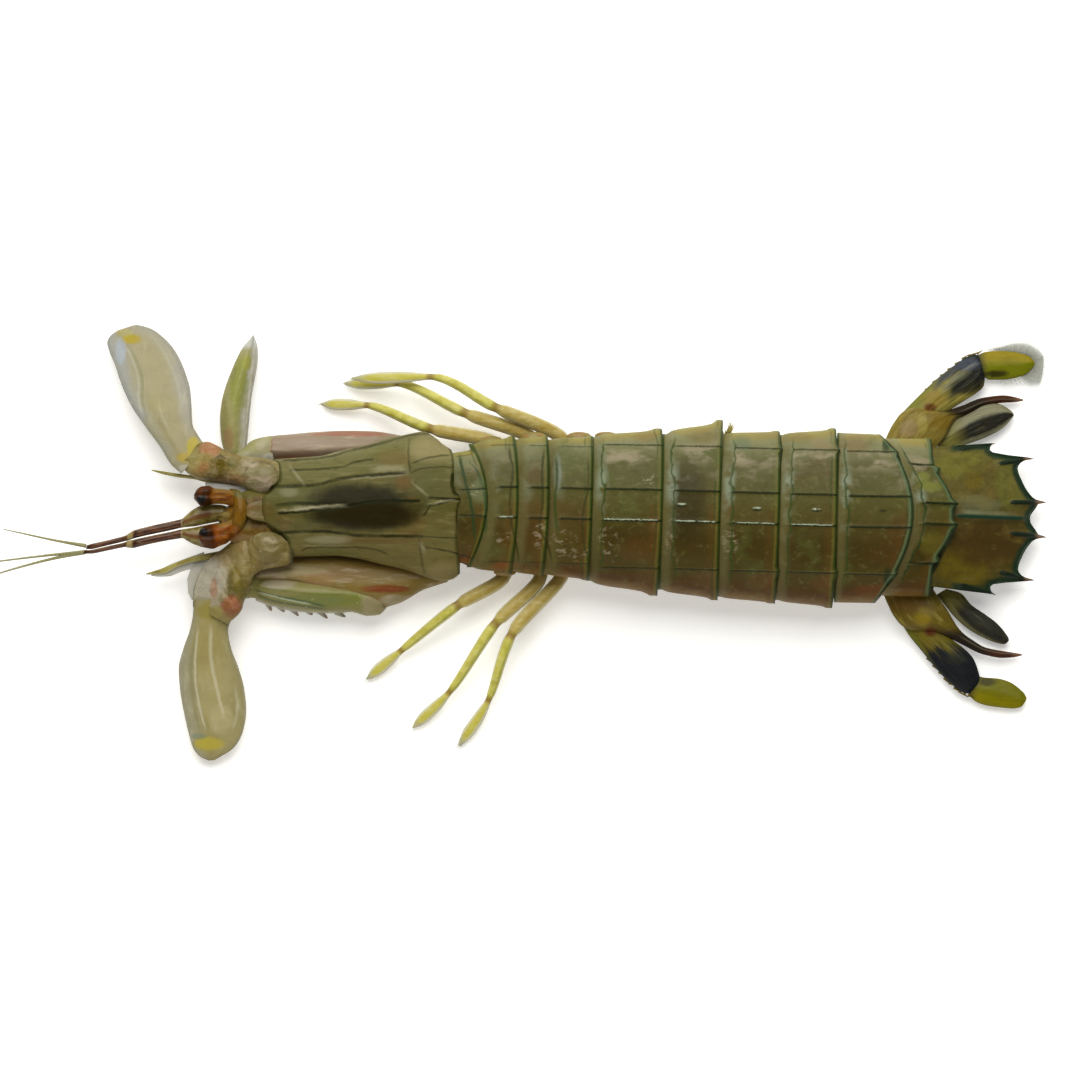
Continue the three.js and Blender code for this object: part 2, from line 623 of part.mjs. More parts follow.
for (const { side } of SIDES) {
  const claw = CLAWS[side];
  add(`raptorial_merus_${side}`, limb({
    path: claw.merus.path,
    places: evenly(9, 2),
    halfWidth: through([0, 0.5], [0.2, 1.7], [0.7, claw.merus.width], [1.5, claw.merus.width],
      [1.85, 1.7], [2, 0.6]),
    halfHeight: through([0, 1.3], [0.3, 2.6], [1, 3.1], [1.7, 2.8], [2, 0.9]),
    sides: 12,
  }), PINK);
  add(`raptorial_carpus_${side}`, limb({
    path: claw.carpus.path,
    places: evenly(7, 2),
    halfWidth: through([0, 0.5], [0.5, 1.5], [1, 1.75], [1.5, 1.4], [2, 0.4]),
    halfHeight: through([0, 1.0], [1, 2.2], [1.6, 1.7], [2, 0.6]),
    sides: 10,
  }), FLESH);
  add(`raptorial_propodus_${side}`, limb({
    path: claw.propodus.path,
    places: evenly(12, 3),
    halfWidth: through([0, 0.8], [0.4, claw.propodus.width * 0.92], [1.4, claw.propodus.width],
      [2.3, claw.propodus.width * 0.86], [2.8, claw.propodus.width * 0.5], [3, 0.3]),
    halfHeight: through([0, 1.0], [0.5, 1.9], [1.5, 2.1], [2.5, 1.4], [3, 0.3]),
    sides: 10,
  }), CLAW);
  add(`raptorial_dactylus_${side}`, dactylus(claw.dactylus), BLADE);
}

// ---------------------------------------------------------------- walking legs

// Three slender pairs under the last three thoracic rings. Each goes from the hip out past the edge of the
// shell, then knee, wrist and the tip of a flat bristly paddle.
const LEGS = {
  right: [
    [[-26.0, 6.6, 3.8], [-28.5, 12.4, 4.3], [-40.9, 15.1, 5.6], [-53.0, 19.9, 2.6], [-61.6, 20.3, 0.8]],
    [[-19.6, 6.6, 3.8], [-21.2, 13.0, 4.3], [-34.4, 18.1, 6.0], [-47.2, 24.0, 3.1], [-57.2, 24.2, 1.0]],
    [[-13.0, 6.4, 3.8], [-15.4, 13.0, 4.3], [-28.5, 19.0, 7.0], [-41.0, 24.9, 6.4], [-55.8, 24.8, 4.2]],
  ],
  left: [
    [[-25.6, -6.4, 3.8], [-26.6, -12.6, 4.3], [-35.7, -18.7, 5.4], [-46.4, -27.0, 2.1], [-52.8, -32.2, 0.8]],
    [[-19.2, -6.5, 3.8], [-19.8, -12.8, 4.3], [-28.5, -22.3, 6.0], [-37.3, -35.0, 2.3], [-44.1, -41.5, 0.8]],
    [[-13.0, -6.8, 3.8], [-16.0, -13.2, 4.3], [-25.5, -24.6, 6.2], [-29.8, -36.5, 2.4], [-35.3, -44.9, 0.8]],
  ],
};

for (const { side } of SIDES) {
  LEGS[side].forEach((path, i) => add(`leg_${i + 1}_${side}`, limb({
    path,
    places: [0, 0.5, 1, 1.5, 1.9, 2, 2.1, 2.6, 3, 3.15, 3.4, 3.7, 3.9, 4],
    halfWidth: through([0, 0.9], [1, 1.1], [1.6, 1.3], [1.9, 1.15], [2, 0.8], [2.1, 0.98], [2.5, 0.92],
      [2.9, 0.66], [3, 0.58], [3.4, 1.1], [3.7, 1.05], [3.9, 0.55], [4, 0.1]),
    halfHeight: through([0, 0.9], [1.6, 1.1], [2, 0.75], [2.5, 0.85], [3, 0.55], [3.6, 0.5], [4, 0.1]),
  }), LEG));
}

// ---------------------------------------------------------------- underside

// The soft belly under the carapace carries the mouth limbs; the thoracic rings stand on a narrow keel
// between the legs, which is flat where the animal rests.
function keel(front, rear, halfWidth, top, sole) {
  const station = (t) => ({
    along: () => mix(front, rear, t),
    halfWidth: halfWidth(t),
    top: top(t),
    waist: sole + 1.2,
    belly: () => sole,
    squareness: 3,
    ridge: 0,
    spine: 0,
  });
  return shell({ places: evenly(9, 1), lanes: [0, 0.3, 0.55, 0.78, 0.92, 1], carinae: [], station });
}

// Three pairs of small folded mouth limbs lie under the front of the belly, one behind another.
const MOUTH_LIMBS = [
  { root: -48, reach: 6.2 },
  { root: -55, reach: 5.8 },
  { root: -62, reach: 5.0 },
];

function headUnderside() {
  const belly = keel(
    -75.8, -36.2,
    through([0, 3.2], [0.12, 4.8], [0.5, 7.2], [1, 8.2]),
    through([0, 5.4], [0.1, 5.9], [0.5, 6.6], [1, 6.6]),
    2,
  );
  const limbs = SIDES.flatMap(({ sign }) => MOUTH_LIMBS.map(({ root, reach }) => limb({
    path: [
      [root, axisY(root) + sign * (reach - 2.4), 2.4],
      [root - 5.0, axisY(root) + sign * reach, 1.8],
      [root - 11.0, axisY(root) + sign * (reach - 3.8), 1.2],
    ],
    places: [0, 0.5, 1, 1.5, 2],
    halfWidth: through([0, 1.0], [0.5, 1.4], [1, 1.1], [1.5, 1.3], [2, 0.5]),
    halfHeight: through([0, 1.2], [1, 1.9], [2, 0.8]),
    flatTo: 0,
  })));
  return joined(belly, ...limbs);
}

add('head_underside', headUnderside(), FLESH);
add('thorax_underside', keel(
  -34.8, -10.2, through([0, 5.4], [1, 5.6]), through([0, 6.2], [1, 6.3]), 0,
), FLESH);

// Swimming limbs: under each of the first five abdominal rings a cross bar with a pair of soft flaps.
const FLAP_REACH = 11.5;

function pleopods({ front, rear }) {
  const middle = mix(front, rear, 0.45);
  const centre = axisY(middle);
  const bar = limb({
    path: [[middle, centre - 12.6, 2.9], [middle, centre, 2.9], [middle, centre + 12.6, 2.9]],
    places: [0, 1, 2],
    halfWidth: through([0, 1.6], [1, 3.0], [2, 1.6]),
    halfHeight: () => 0.75,
    sides: 6,
  });
  const flaps = SIDES.map(({ sign }) => limb({
    path: [
      [middle - 0.6, centre + sign * 2.2, 1.5],
      [middle + 0.6, centre + sign * FLAP_REACH * 0.62, 1.5],
      [middle + 1.4, centre + sign * FLAP_REACH, 1.4],
    ],
    places: evenly(5, 2),
    halfWidth: through([0, 1.5], [0.6, 3.6], [1.3, 3.9], [1.8, 2.6], [2, 1.0]),
    halfHeight: through([0, 1.6], [1, 1.7], [2, 0.9]),
    flatTo: 0,
  }));
  return joined(bar, ...flaps);
}

rings.filter((ring) => ring.name.startsWith('abdominal')).forEach((ring, i) => {
  add(`pleopods_${i + 1}`, pleopods(ring), FLESH);
});

export default animal;
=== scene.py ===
# %% [markdown]
# # A raw mantis shrimp
#
# This lesson dresses a whole raw mantis shrimp that lies belly down, seen from above. Its solids already
# give every piece its place and size. Here each piece gets its real form, with keels, rims, creases and
# bristles, and a wet, living surface. All lengths are written in millimetres along the body and made
# metres at the very end, because that is how a shrimp is measured on the table.

# %% Tools and the measured frame
import math
import random

import bmesh
import bpy
from mathutils import Matrix, Vector


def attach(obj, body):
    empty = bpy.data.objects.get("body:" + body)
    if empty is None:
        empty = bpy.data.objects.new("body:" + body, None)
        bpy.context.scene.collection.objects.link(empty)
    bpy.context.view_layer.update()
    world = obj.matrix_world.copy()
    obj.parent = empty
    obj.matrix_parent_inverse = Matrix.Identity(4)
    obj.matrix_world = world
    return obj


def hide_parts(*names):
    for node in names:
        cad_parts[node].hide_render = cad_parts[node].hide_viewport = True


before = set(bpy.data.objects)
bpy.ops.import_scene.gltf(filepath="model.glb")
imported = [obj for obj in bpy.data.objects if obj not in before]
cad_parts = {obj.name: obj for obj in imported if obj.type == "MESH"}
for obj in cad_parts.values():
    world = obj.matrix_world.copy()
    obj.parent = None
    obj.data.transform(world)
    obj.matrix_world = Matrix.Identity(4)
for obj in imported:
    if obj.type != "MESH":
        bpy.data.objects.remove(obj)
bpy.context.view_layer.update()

# %% [markdown]
# The body lies along X with its head towards minus X, and its right side towards plus Y. The places
# below are counted from a point on the body, not from the middle of the whole outline, so they are
# shifted by the same amount that the solids were. `through` draws a smooth curve through a few values
# without overshooting them: nearly every width, height and path here is such a curve.

# %% Measures
MM = 0.001
MIDDLE = Vector((27.9, 6.0, 0.0))   # from the body's own zero to the middle of the outline
PIXEL = 0.19                        # one pixel of the photograph, on the table
LEAN = 0.105                        # how far a height shifts a point up in the photograph
SLANT = 0.9945                      # how much the photograph shortens distances across the body


def through(*stations):
    """A smooth curve through (place, value) pairs that never overshoots them."""
    places = [place for place, _ in stations]
    values = [value for _, value in stations]
    steps = [(values[i + 1] - values[i]) / (places[i + 1] - places[i]) for i in range(len(places) - 1)]
    slopes = [steps[0]]
    for before, after in zip(steps, steps[1:]):
        slopes.append(0.0 if before * after <= 0 else 2 * before * after / (before + after))
    slopes.append(steps[-1])

    def value_at(place):
        if place <= places[0]:
            return values[0]
        if place >= places[-1]:
            return values[-1]
        i = 0
        while places[i + 1] < place:
            i += 1
        span = places[i + 1] - places[i]
        t = (place - places[i]) / span
        rising = t * t * (3 - 2 * t)
        bend = t * (1 - t) * span
        level = values[i] * (1 - rising) + values[i + 1] * rising
        return level + bend * ((1 - t) * slopes[i] - t * slopes[i + 1])

    return value_at


def mix(a, b, t):
    return a + (b - a) * t


def ease(value, low, high):
    """0 below low, 1 above high, and a smooth rise between them."""
    t = min(1.0, max(0.0, (value - low) / (high - low)))
    return t * t * (3 - 2 * t)


axis_y = through((-76, -1.2), (-69, -1.1), (-35, 0.2), (-3, -0.6), (45, -1.85), (76, -2.1))


def on_body(along, across, height):
    """A place given along the body, across it and above the table."""
    lean = (axis_y(along + 1) - axis_y(along - 1)) / 2
    return Vector((along - lean * across, axis_y(along) + across, height))


print("the body bends between", round(axis_y(-76), 2), "and", round(axis_y(-35), 2), "mm off its line")

# %% [markdown]
# The photograph looks almost straight down, a touch from the shrimp's left, through a long lens. A soft
# light stands beyond its right side, as large as a window, so that flank is pale and the other one dark,
# and its wet film gives a broad, weak shine. Nothing shines from straight above, because the flat back
# would mirror it into the lens. A small lamp beside the window gives the wet edges their glints, and a
# weak low light and a dim room fill the shadows.

# %% Camera, lights and table
scene = bpy.context.scene
scene.view_settings.view_transform = "Standard"
VIEW_DISTANCE = 3.0
VIEW_WIDTH = 1077 * PIXEL * MM      # the photograph's width where the shrimp lies
SENSOR = 36.0                       # width of the camera's sensor in millimetres
VIEW_HEIGHT_ANGLE = math.radians(84)
view_centre = Vector((7.95, -0.42, 8.0)) * MM
view_from = Vector((0, -math.cos(VIEW_HEIGHT_ANGLE), math.sin(VIEW_HEIGHT_ANGLE)))

camera_data = bpy.data.cameras.new("camera")
camera_data.sensor_width = SENSOR
camera_data.lens = SENSOR * VIEW_DISTANCE / VIEW_WIDTH
camera_data.clip_start = 0.01
camera = bpy.data.objects.new("camera", camera_data)
scene.collection.objects.link(camera)
camera.location = view_centre + view_from * VIEW_DISTANCE
camera.rotation_euler = (-view_from).to_track_quat("-Z", "Y").to_euler()
scene.camera = camera


def soft_light(name, place, size, power, colour):
    """A square soft light that faces the middle of the shrimp."""
    data = bpy.data.lights.new(name, "AREA")
    data.size = size
    data.energy = power
    data.color = colour
    light = bpy.data.objects.new(name, data)
    scene.collection.objects.link(light)
    light.location = place
    light.rotation_euler = (view_centre - Vector(place)).to_track_quat("-Z", "Y").to_euler()
    return light


soft_light("window", (-0.05, 0.95, 1.2), 1.5, 33.0, (1.0, 0.99, 0.94))
soft_light("glint", (0.06, 0.55, 0.75), 0.09, 0.25, (0.97, 1.0, 0.98))
soft_light("low fill", (-0.3, -1.2, 0.75), 1.2, 8.5, (1.0, 0.97, 0.9))
world = bpy.data.worlds.new("room")
scene.world = world
world.use_nodes = True
world.node_tree.nodes["Background"].inputs["Color"].default_value = (1.0, 0.98, 0.94, 1)
world.node_tree.nodes["Background"].inputs["Strength"].default_value = 0.12
print("camera looks from", [round(c, 3) for c in camera.location])

table_mesh = bmesh.new()
bmesh.ops.create_grid(table_mesh, x_segments=2, y_segments=2, size=3.0)
table_data = bpy.data.meshes.new("table")
table_mesh.to_mesh(table_data)
table_mesh.free()
table = bpy.data.objects.new("table", table_data)
scene.collection.objects.link(table)

# %% [markdown]
# ## How a skin is made
#
# Every plate and limb of a shrimp is a closed skin about a line. A grid is such a skin cut open: one way
# along the line, one way around it. So each piece starts as a flat grid, every corner of the grid is
# moved to its place, the seam where the grid meets itself is merged, the two open ends are filled and
# the faces are turned outwards. Marks are written on the corners at the same time, such as how far
# along the piece a corner is, and the finishes read them later.

# %% Skin helper
MARKS = ("along", "across", "up", "side_mm", "front_mm", "rear_mm")


def start_skin():
    mesh = bmesh.new()
    for mark in MARKS:
        mesh.verts.layers.float.new(mark)
    return mesh


def wrap(mesh, rows, turns, place, wrapped=True):
    """Adds a grid to the mesh and moves its corners to place(row, turn), which also gives their marks."""
    layers = {mark: mesh.verts.layers.float[mark] for mark in MARKS}
    grid = bmesh.ops.create_grid(mesh, x_segments=len(turns) - 1, y_segments=len(rows) - 1, size=1)["verts"]
    for number, corner in enumerate(grid):
        row, turn = divmod(number, len(turns))
        point, marks = place(rows[row], turns[turn])
        corner.co = (point + MIDDLE) * MM
        for mark, value in marks.items():
            corner[layers[mark]] = value
    if wrapped:
        bmesh.ops.remove_doubles(mesh, verts=grid, dist=1e-6)
        own = {corner for corner in grid if corner.is_valid}
        open_edges = [e for e in mesh.edges if e.is_boundary and e.verts[0] in own]
        caps = bmesh.ops.holes_fill(mesh, edges=open_edges, sides=0)["faces"]
        for cap in caps:
            for edge in cap.edges:
                edge.smooth = False


def finish_piece(mesh, name, slot, finish, *nodes):
    """Turns a mesh into a piece of the shrimp that rides on it and stands for its solids."""
    bmesh.ops.recalc_face_normals(mesh, faces=mesh.faces)
    for face in mesh.faces:
        face.smooth = True
    data = bpy.data.meshes.new(name)
    mesh.to_mesh(data)
    mesh.free()
    data.materials.append(finish)
    piece = bpy.data.objects.new(name, data)
    scene.collection.objects.link(piece)
    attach(piece, "root")
    if nodes:
        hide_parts(*nodes)
    print(name, "corners:", len(data.vertices))


def evenly(count, first, last):
    return [first + (last - first) * i / (count - 1) for i in range(count)]

# %% [markdown]
# A limb is a skin about a smooth path through its joints. Places along it are counted in joints, so 1.5
# is half way from the second joint to the third. Its half widths lie level and its half heights stand
# upright.

# %% Limb helper
def line_of(path):
    """The smooth line through a path's joints, with the directions along, across and up at each place."""
    curves = [through(*[(joint, point[i]) for joint, point in enumerate(path)]) for i in range(3)]
    last = len(path) - 1

    def at(place):
        place = min(last, max(0.0, place))
        centre = Vector([curve(place) for curve in curves])
        before = Vector([curve(max(0.0, place - 0.04)) for curve in curves])
        after = Vector([curve(min(last, place + 0.04)) for curve in curves])
        forward = (after - before).normalized()
        across = Vector((0, 0, 1)).cross(forward).normalized()
        return centre, forward, across, forward.cross(across)

    return at


def limb(mesh, path, rows, wide, thick, sides):
    """Adds a limb to the mesh. wide(place) and thick(place) are its half width and half height."""
    line = line_of(path)
    frames = {place: line(place) for place in rows}
    turns = evenly(sides + 1, 0.0, 2 * math.pi)

    def place_of(place, turn):
        centre, _, across, up = frames[place]
        side = math.sin(turn)
        rise = math.cos(turn)
        point = centre + across * side * wide(place) + up * rise * thick(place)
        point.z = max(point.z, 0.05)
        return point, {"along": place, "across": side, "up": rise}

    wrap(mesh, rows, turns, place_of)

# %% [markdown]
# ## How a finish is made
#
# A finish is worked out from where a point is: along the body, across it, and on which part of a piece.
# `Paint` wraps one socket, so that ordinary sums in Python build the nodes. Colours are written as they
# look on a screen, from 0 to 255, and made linear here.

# %% Paint helper
class Paint:
    """A value, colour or vector in a finish. Sums on it add Math nodes."""

    def __init__(self, tree, socket=None):
        self.tree = tree
        self.socket = socket

    def node(self, kind, settings=(), sockets=(), result=0):
        """Adds a node of a kind, sets its settings, fills its sockets, and returns one of its results."""
        node = self.tree.nodes.new("ShaderNode" + kind)
        for name, value in dict(settings).items():
            if name == "points":
                curve = node.mapping.curves[0]
                curve.points[0].location = value[0]
                curve.points[1].location = value[-1]
                for point in value[1:-1]:
                    curve.points.new(*point)
                node.mapping.extend = "HORIZONTAL"
                node.mapping.update()
            elif name == "stops":
                stops = node.color_ramp.elements
                while len(stops) < len(value):
                    stops.new(0.5)
                for stop, (place, tint) in zip(stops, value):
                    stop.position = place
                    stop.color = linear(tint)
            else:
                setattr(node, name, value)
        for name, value in dict(sockets).items():
            if isinstance(value, Paint):
                self.tree.links.new(value.socket, node.inputs[name])
            else:
                node.inputs[name].default_value = value
        return None if result is None else Paint(self.tree, node.outputs[result])

    def math(self, operation, *values):
        return self.node("Math", {"operation": operation}, enumerate(values))

    def __add__(self, other):
        return self.math("ADD", self, other)

    __radd__ = __add__

    def __sub__(self, other):
        return self.math("SUBTRACT", self, other)

    def __rsub__(self, other):
        return self.math("SUBTRACT", other, self)

    def __mul__(self, other):
        return self.math("MULTIPLY", self, other)

    __rmul__ = __mul__

    def __truediv__(self, other):
        return self.math("DIVIDE", self, other)

    def __abs__(self):
        return self.math("ABSOLUTE", self)

    def __pow__(self, other):
        return self.math("POWER", self, other)

    def most(self, other):
        return self.math("MAXIMUM", self, other)

    def above(self, low, high):
        """0 below low, 1 above high, and a smooth rise between."""
        sockets = {"Value": self, "From Min": low, "From Max": high}
        return self.node("MapRange", {"interpolation_type": "SMOOTHSTEP"}, sockets)

    def below(self, low, high):
        return 1 - self.above(low, high)

    def line(self, half_width, soft=0.5):
        """1 where the value is within half_width of 0, with soft edges."""
        return abs(self).below(half_width * (1 - soft), half_width * (1 + soft))


def linear(tint):
    """A colour as it looks on a screen, 0 to 255, made linear for Blender. A mixed colour stays as it is."""
    if isinstance(tint, Paint):
        return tint
    parts = [part / 255 for part in tint]
    return (*[part / 12.92 if part <= 0.04045 else ((part + 0.055) / 1.055) ** 2.4 for part in parts], 1.0)


def new_finish(name):
    material = bpy.data.materials.new(name)
    material.use_nodes = True
    material.node_tree.nodes.clear()
    paint = Paint(material.node_tree)
    paint.material = material
    return paint


def tinted(paint, share, first, second):
    """The first colour where share is 0, the second where it is 1."""
    sockets = {"Factor": share, 6: linear(first), 7: linear(second)}
    return paint.node("Mix", {"data_type": "RGBA", "clamp_factor": True}, sockets, 2)


def over(paint, base, *coats):
    """Lays coats over a colour, one after another. Each is a share and a colour."""
    for share, tint in coats:
        base = tinted(paint, share, base, tint)
    return base


def mark(paint, name):
    return paint.node("Attribute", {"attribute_name": name}, result="Fac")


def seen_across(y, z):
    """Where the photograph shows a place: its height shifts it by the lean of the view."""
    return y + z * LEAN


def body_place(paint):
    """Where a point is along the body, across it and above the table, in millimetres."""
    spot = paint.node("TexCoord", result="Object")
    split = {"Vector": spot}
    x, y, z = [paint.node("SeparateXYZ", sockets=split, result=i) for i in range(3)]
    return x * 1000 - MIDDLE.x, y * 1000 - MIDDLE.y, z * 1000


def begin(name):
    """A new finish, with where a point is on the body, where the photograph sees it, and its marks."""
    paint = new_finish(name)
    x, y, z = body_place(paint)
    return paint, x, y, seen_across(y, z), mark(paint, "along"), mark(paint, "across")


def mottle(paint, size, detail=3.0, rough=0.55, stretch=(1, 1, 1)):
    """Uneven patches about size millimetres across, from 0 to 1."""
    spot = paint.node("TexCoord", result="Object")
    spot = paint.node("Mapping", sockets={"Vector": spot, "Scale": [1000 / size / s for s in stretch]})
    sockets = {"Vector": spot, "Scale": 1.0, "Detail": detail, "Roughness": rough}
    return paint.node("TexNoise", sockets=sockets)


def fibres(paint, length, width, detail=3.0):
    """Streaks that run along a blade or a limb, whichever way it points, from 0 to 1."""
    sockets = {"X": mark(paint, "along") / length, "Y": mark(paint, "across") / width}
    spot = paint.node("CombineXYZ", sockets=sockets)
    sockets = {"Vector": spot, "Scale": 1.0, "Detail": detail, "Roughness": 0.6}
    return paint.node("TexNoise", sockets=sockets)


def wet(paint, base, rough=0.4, coat=0.2, height=None, alpha=None, gloss=0.2, coat_rough=0.15):
    """A wet surface: its colour, how blurred its shine is, its film of water and its relief in mm."""
    sockets = {"Base Color": base, "Roughness": rough, "Coat Weight": coat, "Coat Roughness": coat_rough}
    if height is not None:
        bump = {"Height": height, "Distance": MM, "Strength": 1.0}
        sockets["Normal"] = paint.node("Bump", sockets=bump)
    if alpha is not None:
        sockets["Alpha"] = alpha
    surface = paint.node("BsdfPrincipled", sockets={**sockets, "Specular IOR Level": gloss})
    paint.node("OutputMaterial", sockets={"Surface": surface}, result=None)
    return paint.material


def fine_relief(paint):
    """The slight unevenness of wet chitin, in millimetres."""
    return mottle(paint, 4.0, 2.0) * 0.10 + mottle(paint, 1.1) * 0.035

# %% [markdown]
# A line that the photograph shows, such as a groove or a keel, is drawn straight onto the finish. Its
# points are pixels of the photograph. `seen_across` is where a point of the body appears in the
# photograph, so the line lies on the shell wherever the shell is, and is sharp however coarse the mesh.

# %% Strokes
def photo(x, y):
    """A pixel of the photograph as millimetres along and across the body, as seen from above."""
    return (x - 645) * PIXEL, (512 - y) * PIXEL / SLANT


def stroke(paint, run, rise, points, half_width, soft=0.5, fade=0.8):
    """A soft line through photo pixels. run and rise are the body's two directions; points run along run."""
    start = points[0][0]
    end = points[-1][0]
    low = min(value for _, value in points) - 1
    high = max(value for _, value in points) + 1
    shares = [((place - start) / (end - start), (value - low) / (high - low)) for place, value in points]
    along = (run - start) / (end - start)
    curve = paint.node("FloatCurve", {"points": shares}, {"Value": along})
    inside = run.above(start - fade / 2, start + fade / 2) * run.below(end - fade / 2, end + fade / 2)
    return (rise - (curve * (high - low) + low)).line(half_width, soft) * inside


def lengthwise(paint, x, seen, pixels, half_width, soft=0.5, fade=0.8):
    return stroke(paint, x, seen, [photo(*p) for p in pixels], half_width, soft, fade)


def crosswise(paint, x, seen, pixels, half_width, soft=0.5, fade=0.8):
    points = sorted(tuple(reversed(photo(*p))) for p in pixels)
    return stroke(paint, seen, x, points, half_width, soft, fade)


def drawn(paint, x, seen, base, strokes, soft, fade, way=lengthwise):
    """Draws strokes over a colour. Each is a line of photo pixels, a half width, a strength and a colour."""
    for line, half_width, strength, tint in strokes:
        share = way(paint, x, seen, line, half_width, soft, fade) * strength
        base = tinted(paint, share, base, tint)
    return base


def from_middle(x, seen, middle, radii):
    """How far out a place is in an oval given in photo pixels: 0 in its middle, 1 on its edge."""
    cx, cy = photo(*middle)
    return ((x - cx) / (radii[0] * PIXEL)) ** 2 + ((seen - cy) / (radii[1] * PIXEL)) ** 2


def patch(x, seen, middle, radii, soft=0.4):
    """1 inside an oval given in photo pixels, with a soft edge."""
    return from_middle(x, seen, middle, radii).below(1 - soft, 1 + soft)


def blots(paint, x, seen, base, noise, spots, edge=0.6):
    """Soft oval patches of colour: middle and radii in photo pixels, a share and a colour."""
    for px, py, wide, high, share, tint in spots:
        away = from_middle(x, seen, (px, py), (wide, high)) + (noise - 0.5) * 1.6
        base = tinted(paint, away.below(1 - edge, 1 + edge) * share, base, tint)
    return base

# %% [markdown]
# ## The ringed shell
#
# Behind the carapace the shell is a row of arched rings, four on the thorax and six on the abdomen. Each
# ring slips under the rear edge of the one before it, so it starts a little lower and narrower and ends
# in a raised, thickened hem. Fine keels run along its back in three pairs. The section is an arch flatter
# than a circle, closed below by the hanging side plates and the soft belly. One helper makes every
# arched plate of the body, the carapace and the rings.

# %% Arched plate helper
EDGE = 15.0           # the lane that runs along the lower edge of the side plates
BELLY_CORNERS = 33    # corners of each row under the belly
hem_in = through((0, 1), (0.08, 1.0), (0.15, 0.985), (0.2, 0.93), (0.25, 0.88), (0.5, 0))
hem_down = through((0, 0), (0.08, 0.33), (0.15, 0.67), (0.2, 0.96), (0.25, 1.0), (0.5, 1.0))


def back_lanes(keels):
    """Places across the back from -15 to 15, close together at the keels and at the sides."""
    lanes = set(evenly(16, 0.0, 14.7)) | {14.4, 14.85, 14.95, EDGE}
    for keel in keels:
        lanes -= {lane for lane in lanes if abs(lane - keel) < 0.37}
        lanes |= {keel + step * 0.08 for step in range(-4, 5)}
    lanes = sorted(lanes)
    return [-lane for lane in reversed(lanes[1:])] + lanes


def across_of(lane, half_width, even):
    """Lanes up to even keep their distance from the middle. The rest stretch to the edge."""
    share = min(1.0, 0.93 * half_width / even) if even else 1.0
    size = abs(lane)
    if size <= even:
        out = size * share
    else:
        out = even * share + (size - even) / (EDGE - even) * (half_width - even * share)
    return math.copysign(out, lane)


def arched_plate(name, slot, finish, station, rows, keels=(), even=0.0):
    """One plate of the body. Lanes go over the back, and the turns after them under the belly."""
    stations = {t: station(t) for t in rows}

    def place_of(t, turn):
        s = stations[t]
        right, left = s["half_widths"]
        top, waist, underside, squareness = s["top"], s["waist"], s["underside"], s["squareness"]
        if turn <= EDGE:
            half_width = right if turn > 0 else left
            across = across_of(turn, half_width, even)
            share = across / half_width
            arch = max(0.0, 1 - abs(share) ** squareness) ** (1 / squareness)
            keel = s["relief"](across) * max(arch, 0.4)
            height = mix(waist, top, arch) + keel + s["hem"] * (0.35 + 0.65 * arch)
            marks = {"across": share, "side_mm": turn}
            across *= 1 + s["hem"] * 0.8 / half_width
        else:
            share = (turn - EDGE) / 2
            inward = min(share, 1 - share)
            sign = 1 if share < 0.5 else -1
            across = sign * hem_in(inward) * (right if share < 0.5 else left) if inward < 0.5 else 0.0
            height = mix(waist, underside, hem_down(inward))
            lane = sign * (1 + 4 * inward) if inward < 0.5 else 3.0
            marks = {"across": lane, "side_mm": math.copysign(EDGE, lane)}
        marks |= {"along": t, "front_mm": s["front_mm"], "rear_mm": s["rear_mm"]}
        return on_body(s["along"](across), across, height), marks

    mesh = start_skin()
    turns = back_lanes(keels) + evenly(BELLY_CORNERS, EDGE, EDGE + 2)[1:]
    wrap(mesh, rows, turns, place_of)
    finish_piece(mesh, name + "_shell", slot, finish, name)
